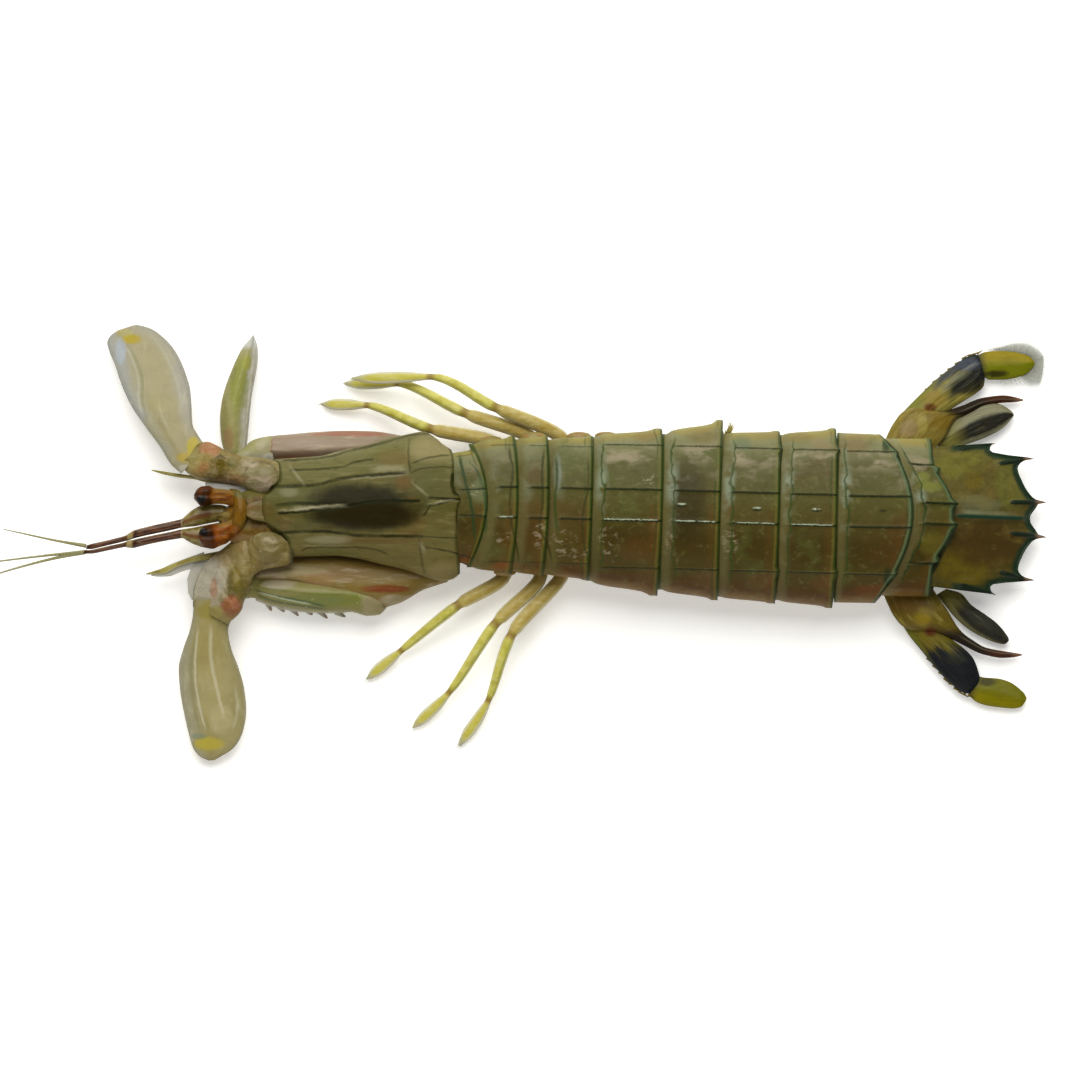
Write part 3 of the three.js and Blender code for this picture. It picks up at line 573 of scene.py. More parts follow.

# %% [markdown]
# Raw shell is olive green and slightly see-through: the dark gut shows as brown in the middle, the side
# plates are paler with an orange-brown edge, and a bluish white band shows where a ring slips under its
# neighbour, partly skin and partly a painted highlight. The side towards the window is painted paler and
# the other side darker, as painted light and shade, and wet highlights and glints are painted on. Keels
# and hems are drawn in dark green, slightly broken and uneven as on any living shell. The marks written on
# the skin say how far a point is from the front edge, from the hem, and across.

# %% Shell finish
def shell_finish(name, keels, warmth, spots=(), bumps=(), creases=(), clusters=(), shining=1.0):
    paint = new_finish(name)
    x, y, z = body_place(paint)
    seen = seen_across(y, z)
    lane = mark(paint, "across")
    across = abs(lane)
    side = mark(paint, "side_mm")
    front_mm = mark(paint, "front_mm")
    rear_mm = mark(paint, "rear_mm")
    broad = mottle(paint, 9.0, 3.0, 0.6)
    small = mottle(paint, 1.6, 4.0, 0.65)
    streaks = mottle(paint, 3.6, 3.0, 0.6, (1.6, 0.9, 1))
    wobble = mottle(paint, 6.0) - 0.5
    # from the left edge over the middle of the back to the right edge: the left half, away from the window,
    # is painted darker and the right half paler, as painted shade and light over the shell's own colours
    stops = [
        (0.0, (104, 78, 30)), (0.035, (76, 48, 10)), (0.09, (70, 56, 14)),
        (0.15, (66, 56, 16)), (0.3, (58, 47, 8)), (0.5, (75, 69, 27)),
        (0.64, (78, 76, 36)), (0.78, (82, 80, 42)), (0.86, (104, 104, 70)),
        (0.92, (118, 118, 84)), (0.965, (134, 122, 64)), (1.0, (140, 134, 76)),
    ]
    wavy = (lane * 0.5 + 0.5) + (broad - 0.5) * 0.08
    base = paint.node("ValToRGB", {"stops": stops}, {"Fac": wavy})
    speckle = mottle(paint, 0.5, 2.0)
    middle_dull = across.below(0.5, 0.95) * 0.9 + 0.1
    lower = lane.below(-0.15, 0.15)
    base = over(
        paint, base,
        (broad.above(0.5, 0.75) * 0.5 * middle_dull, warmth),
        (broad.below(0.3, 0.46) * 0.5, (78, 86, 38)),
        (small.above(0.52, 0.75) * 0.35 * middle_dull, (46, 42, 10)),
        (small.below(0.3, 0.46) * 0.25, (120, 118, 70)),
        (speckle.above(0.6, 0.75) * 0.2, (40, 36, 12)),
        (rear_mm.below(1.0, 3.2) * lower * 0.25, (96, 60, 18)),
    )
    base = blots(paint, x, seen, base, small, spots, 0.85)
    # painted highlights: wet streaks on the side that faces the window, clusters of flecks and faint glints;
    # and a pale band near the front edge, partly skin and partly a painted highlight on the window side
    upper = (lane - 0.63).line(0.1, 0.9) * streaks.above(0.44, 0.62) * front_mm.above(1.2, 2.4)
    shine = upper * 0.55 * shining
    shine = shine.most((lane - 0.45).line(0.16, 0.9) * streaks.above(0.52, 0.7) * 0.3 * shining)
    flecks = mottle(paint, 1.1, 3.0, 0.7, (1.5, 0.8, 1)).above(0.53, 0.6)
    for middle, radii in clusters:
        shine = shine.most(patch(x, seen, middle, radii, 0.8) * flecks * 0.45)
    glints = mottle(paint, 0.8, 3.0, 0.6, (2.0, 1, 1)).above(0.62, 0.7)
    shine = shine.most(glints * mottle(paint, 5.0, 1.0).above(0.5, 0.6) * 0.08)
    skin = mottle(paint, 3.0, 2.0)
    pale = (front_mm - 1.1).line(0.9, 0.8) * skin.above(0.45, 0.62) * (lane + 1.1).above(0.3, 1.3) * 0.4
    window_side = (front_mm - 1.3).line(1.0, 0.8) * (lane - 0.28).line(0.22, 0.9) * skin.above(0.38, 0.56)
    pale = pale.most(window_side) * shining
    base = over(
        paint, base,
        (shine, (158, 144, 120)),
        # the front of the ring in a paler tan, partly its own colour and partly painted light against the
        # shade cast by the hem before it
        (front_mm.below(0.6, 2.2) * 0.5, (100, 94, 56)),
        (pale * 0.75, (130, 140, 118)),
    )
    # the hem: dark green, a thin olive-yellow band, and another broken green line before it; the part tucked
    # under the ring before is painted dark green as shade
    hem_line = (rear_mm - 0.18 + wobble * 0.3).line(0.22, 0.7)
    second = (rear_mm - 1.25 + wobble * 1.6).line(0.13, 0.9) * broad.above(0.42, 0.6) * 0.7
    front_line = (front_mm - 1.7 + wobble * 3.6).line(0.19, 0.8) * across.below(0.75, 0.95)
    front_line = front_line * (0.0 if creases else 0.9)
    teal = x.above(34, 48)
    hem_band = tinted(paint, teal, (98, 98, 40), (78, 98, 66))
    hem_green_and_shade = tinted(paint, teal, (42, 62, 16), (24, 54, 28))
    base = over(
        paint, base,
        ((rear_mm - 0.62 + wobble * 0.6).line(0.26, 0.8) * (teal * 0.4 + 0.4), hem_band),
        (hem_line.most(second).most(front_line).most(front_mm.below(-0.5, -0.1)) * 0.85, hem_green_and_shade),
    )
    ragged = (mottle(paint, 0.55, 2.0) - 0.5) * 0.4
    base = drawn(paint, x + ragged, seen, base, creases, 0.8, 2.5, crosswise)
    reach = (front_mm + wobble).above(1.7, 2.2)
    size = abs(side)
    for keel, width, strength in keels:
        away = size - keel + ragged
        base = tinted(paint, away.line(width, 0.6) * reach * strength, base, (22, 32, 4))
    first = keels[0][0]
    # a painted highlight on the window-facing flank of the left inner keel, on a few rings
    lit_rings = x.below(36, 37) * (x.above(-9.5, -9) + x.below(-24, -23.5) * x.above(-30, -29.5))
    lit = (side + first - 0.12 + ragged * 1.3).line(0.1, 0.9) * reach * rear_mm.above(0.6, 1.2) * lit_rings
    base = tinted(paint, lit * small.above(0.35, 0.5) * 0.8, base, (164, 176, 150))
    bump_height = 0.0
    # each knob: a painted highlight on its top and a painted shadow beside it, away from the window
    for middle in bumps:
        lump = patch(x, seen + ragged, middle, (4.2, 1.3), 0.8)
        shade = patch(x, seen, (middle[0], middle[1] + 2), (4.6, 1.4), 0.9)
        base = over(
            paint, base,
            (shade * 0.7, (24, 30, 6)),
            (lump * small.above(0.38, 0.5), (156, 164, 138)))
        bump_height = lump * 0.3 + bump_height
    belly = across.above(1.05, 1.9)
    base = tinted(paint, belly, base, (150, 134, 100))
    rough = 0.46 + small * 0.16 - shine * 0.34
    relief = mottle(paint, 5.0, 2.0) * 0.45 + streaks * 0.2 + mottle(paint, 0.9) * 0.06 + bump_height
    return wet(paint, base, rough, 0.04, relief, gloss=0.09)

# %% [markdown]
# Not every ring is alike. The gut darkens the second ring of the abdomen, the side plates have brown and
# green blotches, the small thoracic rings are creased, and three rings carry a small knob on their back,
# with a painted highlight on its top and a painted shadow beside it. The fifth ring of the abdomen has
# only such a painted shadow.

# %% Shell finishes
# keels: distance from the middle line in mm, half width of the line, its strength
THORAX_KEELS = ((2.9, 0.19, 0.85), (11.1, 0.12, 0.5))
ABDOMEN_KEELS = ((2.95, 0.19, 0.9), (11.7, 0.15, 0.75))
DARK_GUT = (686, 503, 19, 38, 0.6, (36, 26, 8))
RUST = (540, 527, 46, 28, 0.35, (84, 54, 16))
RUSTY_FLANK = (640, 552, 20, 12, 0.35, (92, 60, 20))
RED_FLANK = (762, 582, 16, 8, 0.28, (104, 56, 26))
RED_EDGE = (506, 567, 13, 4, 0.6, (124, 64, 22))
RED_CORNER = (466, 566, 8, 7, 0.5, (116, 66, 24))
# two pale patches at the front of a ring, partly skin and partly a painted highlight
GREY_SKIN_AND_SHEEN = (557, 474, 4, 18, 0.8, (120, 130, 120))
GREY_FRONT = (480, 492, 9, 12, 0.5, (110, 118, 84))
DEEP_GREEN = (36, 56, 24)
BRANCH = (52, 50, 16)
# creases of the thoracic rings and the first abdominal one: line, half width, strength, colour
CREASES = (
    (((460, 458), (462.5, 470), (466, 485), (470.8, 503), (475, 539)), 0.28, 0.9, DEEP_GREEN),
    (((470, 464), (480, 478), (484.5, 496), (486, 534)), 0.2, 0.8, (48, 70, 40)),
    (((509, 449), (511, 460), (513.4, 472), (511, 489), (510, 503), (511, 520), (515.8, 543), (519, 562)),
     0.22, 0.8, BRANCH),
    (((544, 453), (542, 477), (543, 503), (539.5, 527), (546.6, 543), (552, 562)), 0.22, 0.8, BRANCH),
    (((556, 460), (557, 480), (555, 503), (557.7, 534)), 0.24, 0.8, (52, 68, 28)),
    (((588, 463), (588, 489), (584.5, 505), (582, 527), (587, 557)), 0.2, 0.8, BRANCH),
)
# clusters of painted wet highlights: middle and radii in photo pixels
PALE_HIGHLIGHT_CLUSTERS = (
    ((562, 545), (14, 13)), ((581, 556), (8, 10)), ((505, 540), (14, 6)), ((541, 536), (8, 14)),
    ((476, 490), (7, 9)),
)
ABDOMEN_HIGHLIGHT_CLUSTERS = (
    ((607, 538), (9, 10)), ((610, 553), (8, 6)), ((670, 542), (6, 10)), ((728, 545), (8, 16)),
    ((650, 480), (8, 6)),
)
TUBERCLES = ((681, 505.5), (756, 509.5), (815, 510.5))
TUBERCLE_SHADE = (881, 512, 4, 1.6, 0.8, (40, 40, 14))
# brown and green blotches of the side plates, from the right side to the left
SIDE_BLOTCHES = [
    (645, 438, 12, 6, 0.35, (112, 86, 42)), (704, 438, 17, 7, 0.35, (118, 92, 44)),
    (741, 445, 9, 8, 0.45, (84, 102, 76)), (766, 437, 12, 5, 0.5, (126, 112, 62)),
    (800, 440, 12, 5, 0.5, (116, 100, 52)), (820, 446, 10, 6, 0.5, (134, 116, 84)),
    (852, 446, 16, 9, 0.6, (118, 98, 66)), (885, 447, 4, 7, 0.8, (28, 46, 22)),
    (646, 577, 12, 7, 0.4, (88, 64, 26)), (705, 580, 14, 8, 0.4, (94, 68, 34)),
    (822, 584, 14, 7, 0.3, (100, 60, 28)), (872, 592, 20, 6, 0.4, (108, 58, 20)),
    (886, 579, 4, 10, 0.8, (16, 38, 18)),
]
thorax_finish = shell_finish(
    "thorax shell", THORAX_KEELS, (86, 60, 26), [RUST, RED_EDGE, RED_CORNER, GREY_SKIN_AND_SHEEN, GREY_FRONT], (),
    CREASES, PALE_HIGHLIGHT_CLUSTERS, 0.35)
abdomen_finish = shell_finish(
    "abdomen shell", ABDOMEN_KEELS, (78, 50, 16),
    [DARK_GUT, RUSTY_FLANK, RED_FLANK, TUBERCLE_SHADE, *SIDE_BLOTCHES], TUBERCLES, (), ABDOMEN_HIGHLIGHT_CLUSTERS)
print("finishes:", thorax_finish.name, "and", abdomen_finish.name)

# %% [markdown]
# The nine rings between the carapace and the tail differ only in a few measures. Their widths come from
# the outline in the photograph, on each side separately, because the right side plates flare more where
# the animal was pressed sideways.

# %% Rings
KEEL = 0.24
# front and rear edge; half widths there on the right and on the left; heights there; how far the
# flanks lag behind the middle, at the front and at the rear; length of the spines that end the keels
RINGS = {
    "thoracic_somite_5": ((-37.2, -29.9), (9.4, 10.6), (10.4, 11.7), (13.0, 14.4), (0.0, -5.5), 0.0),
    "thoracic_somite_6": ((-29.5, -24.1), (11.5, 13.1), (11.9, 13.1), (14.0, 14.8), (-4.8, -1.2), 0.0),
    "thoracic_somite_7": ((-23.7, -18.3), (12.5, 13.4), (12.5, 13.4), (14.4, 15.2), (-1.2, -0.8), 0.0),
    "thoracic_somite_8": ((-17.9, -10.1), (12.6, 13.6), (12.8, 13.8), (14.2, 15.8), (-0.8, -0.3), 0.0),
    "abdominal_somite_1": ((-9.7, 3.2), (13.7, 15.6), (13.6, 16.1), (15.2, 16.8), (-0.3, -0.4), 0.0),
    "abdominal_somite_2": ((3.6, 14.1), (14.6, 17.6), (14.9, 16.6), (16.4, 17.0), (0.0, 0.1), 0.0),
    "abdominal_somite_3": ((14.5, 25.3), (15.0, 15.8), (15.9, 16.9), (16.5, 17.0), (0.1, -0.2), 0.5),
    "abdominal_somite_4": ((25.7, 36.2), (15.1, 16.6), (16.2, 17.5), (16.4, 16.8), (-0.1, -0.3), 0.6),
    "abdominal_somite_5": ((36.6, 50.6), (15.8, 15.6), (16.4, 16.4), (16.0, 15.6), (0.0, -5.8), 0.7),
}
flare = through((0, 0), (0.12, 0.25), (0.8, 0.75), (0.9, 1), (1, 1))
rise = through((0, 0), (0.12, 0.5), (0.25, 0.8), (0.9, 1), (1, 0.97))
hem_bump = through((0, -0.3), (0.15, -0.06), (0.4, 0.05), (0.9, 0.05), (1.3, 0.0), (2.0, 0.0))


def lagging(amount, across):
    return amount * (across / EDGE) ** 2


def keel_relief(across, keels, half_width=0.3):
    """How far the nearest keel stands out, from 0 to 1."""
    near = min(abs(abs(across) - keel) for keel in keels) / half_width
    return (1 - near * near) ** 2 if near < 1 else 0.0


def ring_rows(length):
    """Places from the tucked front edge to the hem: close together where the ring bends."""
    near_front = [-0.9, -0.4, 0.0, 0.15, 0.4, 0.7, 1.0, 1.3, 1.7, 2.1]
    near_rear = [2.0, 1.7, 1.45, 1.25, 1.0, 0.75, 0.5, 0.3, 0.15, 0.06, 0.0]
    middle = evenly(9, 2.1, length - 2.0)[1:-1] if length > 4.6 else []
    places = near_front + middle + [length - rear for rear in near_rear if length - rear > 2.3]
    return [place / length for place in places]


def ring_station(measures, keels, underside):
    (front, rear), right, left, back, lag, spine = measures
    length = rear - front

    def station(t):
        front_mm = length * t
        rear_mm = length * (1 - t)
        keel = KEEL * ease(front_mm, 0.9, 1.8) * ease(rear_mm, 0.1, 0.5)

        def along(across):
            point = spine * keel_relief(across, keels[1:], 0.8) * ease(t, 1 - 1.2 / length, 1)
            return front + length * t + mix(lagging(lag[0], across), lagging(lag[1], across), t) + point

        return {
            "along": along,
            "half_widths": [mix(*widths, flare(t)) for widths in (right, left)],
            "top": mix(*back, rise(t)) - 0.5 * ease(-front_mm, 0.0, 0.8),
            "waist": underside + 3,
            "underside": underside,
            "squareness": 2.3,
            "relief": lambda across: keel * keel_relief(across, keels),
            "hem": hem_bump(rear_mm),
            "front_mm": front_mm,
            "rear_mm": rear_mm,
        }

    return station


for name, measures in RINGS.items():
    front, rear = measures[0]
    if name.startswith("thoracic"):
        keels, finish, even, underside = (2.9, 11.1), thorax_finish, 11.5, 6.7
    else:
        keels, finish, even, underside = (2.95, 11.7), abdomen_finish, 12.1, 4.0
    station = ring_station(measures, keels, underside)
    arched_plate(name, "shell", finish, station, ring_rows(rear - front), keels, even)

# %% [markdown]
# The last ring is short. The arched rear edge of the fifth ring covers it in the middle, and its own rear
# edge juts out over the tail plate between two inner keels, stepping back towards the sides. Each keel
# ends in a short spine.

# %% Last ring
LAST_FRONT = 51.0
LAST_REAR = 58.3
LAST_KEELS = ((2.0, 0.22, 0.95), (9.4, 0.2, 0.9))
YELLOW_STREAKS = (
    (928, 488, 12, 5, 0.5, (128, 132, 60)), (921, 478, 7, 5, 0.45, (132, 134, 64)),
    (930, 545, 12, 12, 0.5, (104, 96, 32)),
)
last_finish = shell_finish("last ring shell", LAST_KEELS, (88, 70, 32), YELLOW_STREAKS)
rear_step = through((0, 0), (2.4, 0.0), (4.5, -0.8), (9.0, -3.5), (10.5, -3.9), (15, -4.1))


def last_ring_station(t):
    length = LAST_REAR - LAST_FRONT
    front_mm = length * t
    rear_mm = length * (1 - t)
    keel = 0.45 * ease(front_mm, 0.6, 1.6)

    def relief(across):
        inner = keel_relief(across, [2.0], 0.4)
        return keel * max(inner, keel_relief(across, [mix(10.3, 8.8, t)], 0.45))

    def along(across):
        point = 1.0 * keel_relief(across, (2.0, 8.8), 0.7) * ease(t, 0.8, 1)
        return LAST_FRONT + front_mm + mix(lagging(-6.0, across), rear_step(abs(across)), t) + point

    return {
        "along": along,
        "half_widths": [mix(14.9, 15.0, flare(t))] * 2,
        "top": mix(14.8, 12.3, t) - 0.5 * ease(-front_mm, 0.0, 0.8),
        "waist": 6.4,
        "underside": 3.6,
        "squareness": 2.3,
        "relief": relief,
        "hem": hem_bump(rear_mm),
        "front_mm": front_mm,
        "rear_mm": rear_mm,
    }


last_rows = ring_rows(LAST_REAR - LAST_FRONT)
arched_plate("abdominal_somite_6", "shell", last_finish, last_ring_station, last_rows, (2.0, 9.4), 9.9)

# %% [markdown]
# ## The tail plate
#
# The tail plate is a thin shield with a keel down its middle. Each half of its rear margin carries three
# long teeth, and every tooth is the end of a low keel. The dark green rim follows the margin, so each
# corner is marked with its distance from it. The plate is one grid for the top and one for the bottom,
# which meet along the margin.

# %% Tail plate
TEETH = ((66.4, 14.5), (74.0, 11.6), (76.2, 3.3))
# the rear margin: distance from the middle line, place along the body
rear_margin = through(
    (0, 73.0), (0.6, 73.1), (2.2, 74.2), (2.9, 74.6), (3.3, 76.2), (3.7, 74.4), (4.3, 73.4), (7.0, 71.6),
    (9.7, 70.7), (10.6, 71.2), (11.2, 72.2), (11.6, 74.0), (12.0, 70.4), (12.5, 66.2), (13.1, 65.4),
    (13.9, 65.6), (14.5, 66.6))
front_margin = through((0, 57.6), (5, 55.6), (9, 53.6), (13.2, 53.4))
tail_top = through((0, 11.9), (0.3, 9.8), (0.7, 6.4), (1, 3.2))
tail_waist = through((0, 5.6), (0.5, 3.6), (1, 2.4))
TAIL_HALF_WIDTH = 14.5
near_teeth = (0.6, 2.9, 3.1, 3.3, 3.5, 3.7, 4.1, 10.9, 11.2, 11.4, 11.6, 11.8, 12.2, 12.7)
tail_sides = [i / 30 for i in range(31)] + [y / TAIL_HALF_WIDTH for y in near_teeth]
tail_sides = sorted({round(side, 3) for side in tail_sides})
tail_lanes = [-side for side in reversed(tail_sides[1:])] + tail_sides
tail_axis = axis_y(70)


def to_segment(x, y, start, end):
    """Distance of a place from the straight line between two others, all level."""
    run = Vector(end) - Vector(start)
    away = Vector((x, y)) - Vector(start)
    share = away.dot(run) / run.length_squared
    return (away - run * min(1, max(0, share))).length


tail_outline = [(53.4, 13.2), (60.0, 13.8)]
tail_outline += [
    (rear_margin(TAIL_HALF_WIDTH * side), TAIL_HALF_WIDTH * side) for side in reversed(tail_sides)]


def from_margin(x, y):
    pairs = zip(tail_outline, tail_outline[1:])
    return min(to_segment(x, abs(y), start, end) for start, end in pairs)


def tooth_keel(x, y):
    """How much of a tooth's keel is at this place, from 0 to 1."""
    best = 0.0
    for tip_x, tip_y in TEETH:
        root = (tip_x - 6.4, tip_y * 0.9)
        near = to_segment(x, abs(y), root, (tip_x - 1, tip_y)) / 0.75
        best = max(best, (1 - near * near) ** 2 if near < 1 else 0.0)
    return best


def tail_place(share, turn):
    over_top = turn <= 1
    side = turn if over_top else 2 - turn
    x = mix(front_margin(abs(side) * 13.2), rear_margin(abs(side) * TAIL_HALF_WIDTH), share)
    y = side * mix(13.2, TAIL_HALF_WIDTH, share)
    margin = from_margin(x, y)
    length = (x - 54.5) / 21.5
    arch = max(0.0, 1 - abs(y / 15.2) ** 2) ** 0.5
    ridge = ease(1.1 - abs(y), 0.0, 1.0) * ease(x, 57.5, 60) * ease(73.5 - x, 0, 3)
    keel = tooth_keel(x, y)
    swell = 0.55 * ease(margin, 0.0, 1.3)
    height = mix(tail_waist(length), tail_top(length), arch) + ridge * 0.9 + keel * 0.7
    thick = mix(0.25, 1.9, ease(margin, 0.0, 2.4)) + keel * 0.5
    if share > 0.999 or abs(side) > 0.999:
        # on the margin itself the top and the bottom meet half way
        height -= thick * 0.5
    elif over_top:
        height += swell - 0.55
    else:
        height -= thick
    marks = {"along": x, "across": side, "up": max(ridge, keel), "rear_mm": margin}
    return Vector((x, tail_axis + y, max(height, 0.1))), marks


tail_mesh = start_skin()
tail_turns = tail_lanes + [2 - lane for lane in reversed(tail_lanes[:-1])]
tail_rows = evenly(22, 0, 0.9) + [0.93, 0.955, 0.975, 0.99, 1.0]
wrap(tail_mesh, tail_rows, tail_turns, tail_place)
print("rows and places across the tail plate:", len(tail_rows), len(tail_turns))

# %% [markdown]
# The plate is olive with brown and ochre clouds, its keel and the keels of its teeth are blue-green, and
# the teeth end in horn-coloured tips.

# %% Tail plate finish
paint, x, y, seen, along, side = begin("tail plate")
margin = mark(paint, "rear_mm")
keel = mark(paint, "up")
blotch = mottle(paint, 6.0)
grain = mottle(paint, 1.2, 4.0, 0.65)
diagonal = mottle(paint, 2.4, 3.0, 0.6, (2.2, 0.9, 1))
OLIVE_UPPER = (958, 466, 24, 14, 0.6, (108, 106, 36))
BROWN_UPPER = (985, 480, 24, 16, 0.5, (84, 72, 28))
OCHRE_UPPER = (972, 482, 10, 8, 0.5, (104, 90, 20))
OLIVE_LOWER = (962, 568, 26, 20, 0.7, (96, 84, 16))
BROWN_LOWER = (985, 545, 38, 22, 0.8, (62, 46, 14))
GREY_GREEN = (975, 505, 24, 9, 0.7, (100, 104, 72))
OLIVE_REAR = (1010, 485, 16, 24, 0.6, (100, 100, 42))
stops = [
    (0.0, (74, 66, 24)), (0.35, (62, 50, 16)), (0.5, (76, 66, 28)), (0.65, (84, 76, 34)),
    (1.0, (92, 86, 38))]
base = paint.node("ValToRGB", {"stops": stops}, {"Fac": side * 0.5 + 0.5})
base = blots(paint, x, seen, base, blotch, (
    OLIVE_UPPER, BROWN_UPPER, OCHRE_UPPER, OLIVE_LOWER, BROWN_LOWER, GREY_GREEN, OLIVE_REAR))
base = over(
    paint, base,
    (grain.above(0.5, 0.75) * 0.35, (48, 40, 12)),
    (blotch.above(0.5, 0.7) * 0.35, (112, 94, 44)),
    (diagonal.above(0.5, 0.65) * 0.3, (58, 46, 16)),
    (diagonal.below(0.3, 0.45) * 0.25, (122, 112, 58)),
    ((margin + grain * 0.7).below(1.1, 1.9) * along.above(57, 59), (30, 48, 28)),
    (keel.above(0.15, 0.6) * abs(side).above(0.1, 0.2), (22, 34, 20)),
    (keel.above(0.3, 0.8) * (side + 0.004).line(0.026, 0.6), (22, 52, 36)),
    # a painted highlight along the right flank of the middle keel
    ((side - 0.05).line(0.03, 0.8) * along.above(59, 61) * along.below(66, 72) * 0.3, (112, 124, 98)),
)
for tip_x, tip_y in TEETH:
    for turn in (1, -1):
        away = ((x - tip_x) ** 2 + (y - tail_axis - turn * tip_y) ** 2) ** 0.5
        reach = 0.9 if tip_y > 14 else 2.6
        horn = away.below(reach * 0.4, reach) * margin.below(0.9, 1.4)
        base = tinted(paint, horn, base, (140, 112, 86))
relief = blotch * 0.6 + grain * 0.12 + keel * 0.1
tail_finish = wet(paint, base, 0.42 + grain * 0.12, 0.04, relief, gloss=0.1)
finish_piece(tail_mesh, "toothed_tail_plate", "tail_plate", tail_finish, "telson")

# %% [markdown]
# ## Blades
#
# The paddles, the tail fan and the claws are flat blades whose outline the photograph shows exactly. A
# blade is a skin between two edges. An outline lists pairs of photo pixels from its root to its tip: x
# and y on one edge, then x and y on the other. Between the pairs the edges are smooth curves, and the
# section is a flattened oval. Raised from the table, a blade appears a little higher in the photograph,
# so it is moved back by its lean.

# %% Blade helper
def blade(mesh, edges, rows, height, thick, sides=28, flatness=2.0, relief=None):
    """Adds a blade to the mesh. relief(place, side) is how far its top stands out there."""
    corners = [photo(*pair[:2]) + photo(*pair[2:]) for pair in edges]
    curves = [through(*enumerate(column)) for column in zip(*corners)]
    turns = evenly(sides + 1, 0.0, 2 * math.pi)

    def place_of(place, turn):
        first_x, first_y, last_x, last_y = [curve(place) for curve in curves]
        side = math.sin(turn)
        rise = math.cos(turn)
        full = abs(rise) ** (2 / flatness) * (1 if rise > 0 else -1)
        share = (1 + side) / 2
        level = height(place)
        out = relief(place, side) * max(0.0, rise) ** 0.5 if relief and rise > 0 else 0.0
        point = Vector((mix(first_x, last_x, share), mix(first_y, last_y, share) - level * LEAN, 0))
        point.z = max(level + full * thick(place) + out, 0.04)
        return point, {"along": place, "across": side, "up": rise}

    wrap(mesh, rows, turns, place_of)


def blade_piece(name, slot, finish, node, edges, height, thick, per_pair=5, **form):
    """A piece of the shrimp that is one blade, with per_pair rows of corners for each pair of points."""
    mesh = start_skin()
    last = len(edges) - 1
    blade(mesh, edges, evenly(per_pair * last + 1, 0, last), height, thick, **form)
    finish_piece(mesh, name, slot, finish, node)


def rib(side, middle, half_width):
    """A rounded rib at one place across a blade, from 0 to 1."""
    near = abs(side - middle) / half_width
    return (1 - near * near) ** 2 if near < 1 else 0.0

# %% [markdown]
# A fringe is a row of fine hairs, each a three-sided cone. Their places and lengths are drawn with a
# fixed seed, so the fringe is the same each time the lesson is run.

# %% Fringe helper
def hairs(mesh, roots, seed, thick=0.05):
    """Adds hairs to the mesh. Each root is a place, a direction and a length, all in millimetres."""
    layers = mesh.verts.layers.float
    chance = random.Random(seed)
    for place, way, length in roots:
        way = Vector(way)
        spread = Vector([chance.uniform(-0.18, 0.18) for _ in range(3)])
        way = (way.normalized() + spread).normalized()
        size = length * chance.uniform(0.75, 1.1)
        turn = way.to_track_quat("Z", "Y").to_matrix().to_4x4()
        middle = (Vector(place) + MIDDLE + way * size / 2) * MM
        hair = bmesh.ops.create_cone(
            mesh, cap_ends=True, segments=3, radius1=thick * MM, radius2=thick * 0.25 * MM,
            depth=size * MM, matrix=Matrix.Translation(middle) @ turn)["verts"]
        for corner in hair:
            corner[layers["up"]] = 1.0


def edge_roots(points, height, way, length, count):
    """Roots along a line of photo pixels, at one height, all with one direction."""
    line = [through(*[(i, photo(*point)[axis]) for i, point in enumerate(points)]) for axis in (0, 1)]
    places = evenly(count, 0, len(points) - 1)
    return [((line[0](p), line[1](p) - height * LEAN, height), way, length) for p in places]


paint = new_finish("pale bristles")
base = tinted(paint, mottle(paint, 2.0), (206, 206, 196), (182, 182, 168))
bristle_finish = wet(paint, base, 0.6, 0.0, alpha=0.6)

# %% [markdown]
# ## The tail fan
#
# Each side of the fan has four parts: the base with its long forked spine, the outer blade with a dark
# outer half, the yellow and green tip that is hinged to it, and the slim dark inner blade.

# %% Tail fan outlines, root to tip in photo pixels
FAN_BASE_RIGHT = [
    (880, 452, 926, 462), (893, 425, 938, 446), (903, 413, 945, 438), (915, 409, 950, 428),
    (928, 411, 957, 419), (943, 412, 964, 417), (960, 407.5, 975, 412), (982, 399, 985, 407),
    (1003, 396.5, 1003, 404), (1014, 398, 1014, 403.5), (1023.5, 400.5, 1023.5, 402),
]
FAN_OUTER_RIGHT = [
    (890, 432, 915, 440), (896, 421, 924, 432), (907, 409, 938, 421), (922, 394, 952, 410),
    (938, 379, 966, 401), (955, 366, 977, 394), (968, 357.5, 984, 387), (975, 355.5, 985, 380),
    (979, 356.5, 984, 374),
]
FAN_TIP_RIGHT = [
    (976, 357, 983, 377), (986, 353, 990, 381), (998, 352, 1002, 381), (1011, 352.5, 1014, 379.5),
    (1023, 355, 1026, 375.5), (1031, 358.5, 1032, 370), (1034.5, 362.5, 1035, 366.5),
]
FAN_INNER_RIGHT = [
    (934, 440, 940, 452), (948, 427, 955, 449), (962, 415, 970, 444.5), (976, 406.5, 985, 439),
    (989, 403.5, 998, 432.5), (1001, 405.5, 1007, 425.5), (1010, 411, 1012, 419.5),
    (1013.5, 414.5, 1014, 417),
]
FAN_BASE_LEFT = [
    (882, 594, 926, 580), (893, 617, 939, 600), (903, 628, 946, 610), (916, 632, 952, 620),
    (930, 633, 957, 628), (944, 637, 963, 634.5), (962, 646, 972, 641), (982, 655.5, 985, 648.5),
    (1001, 659, 1002, 652), (1012, 658.5, 1012, 653.5), (1021.5, 656.5, 1021.5, 655),
]
FAN_OUTER_LEFT = [
    (890, 606, 915, 598), (897, 618, 925, 612), (908, 636, 938, 627), (921, 652, 951, 640),
    (934, 668, 964, 650), (947, 682, 973, 660), (958, 691, 977, 670), (965, 694.5, 979, 678),
    (969, 694.5, 979, 683),
]
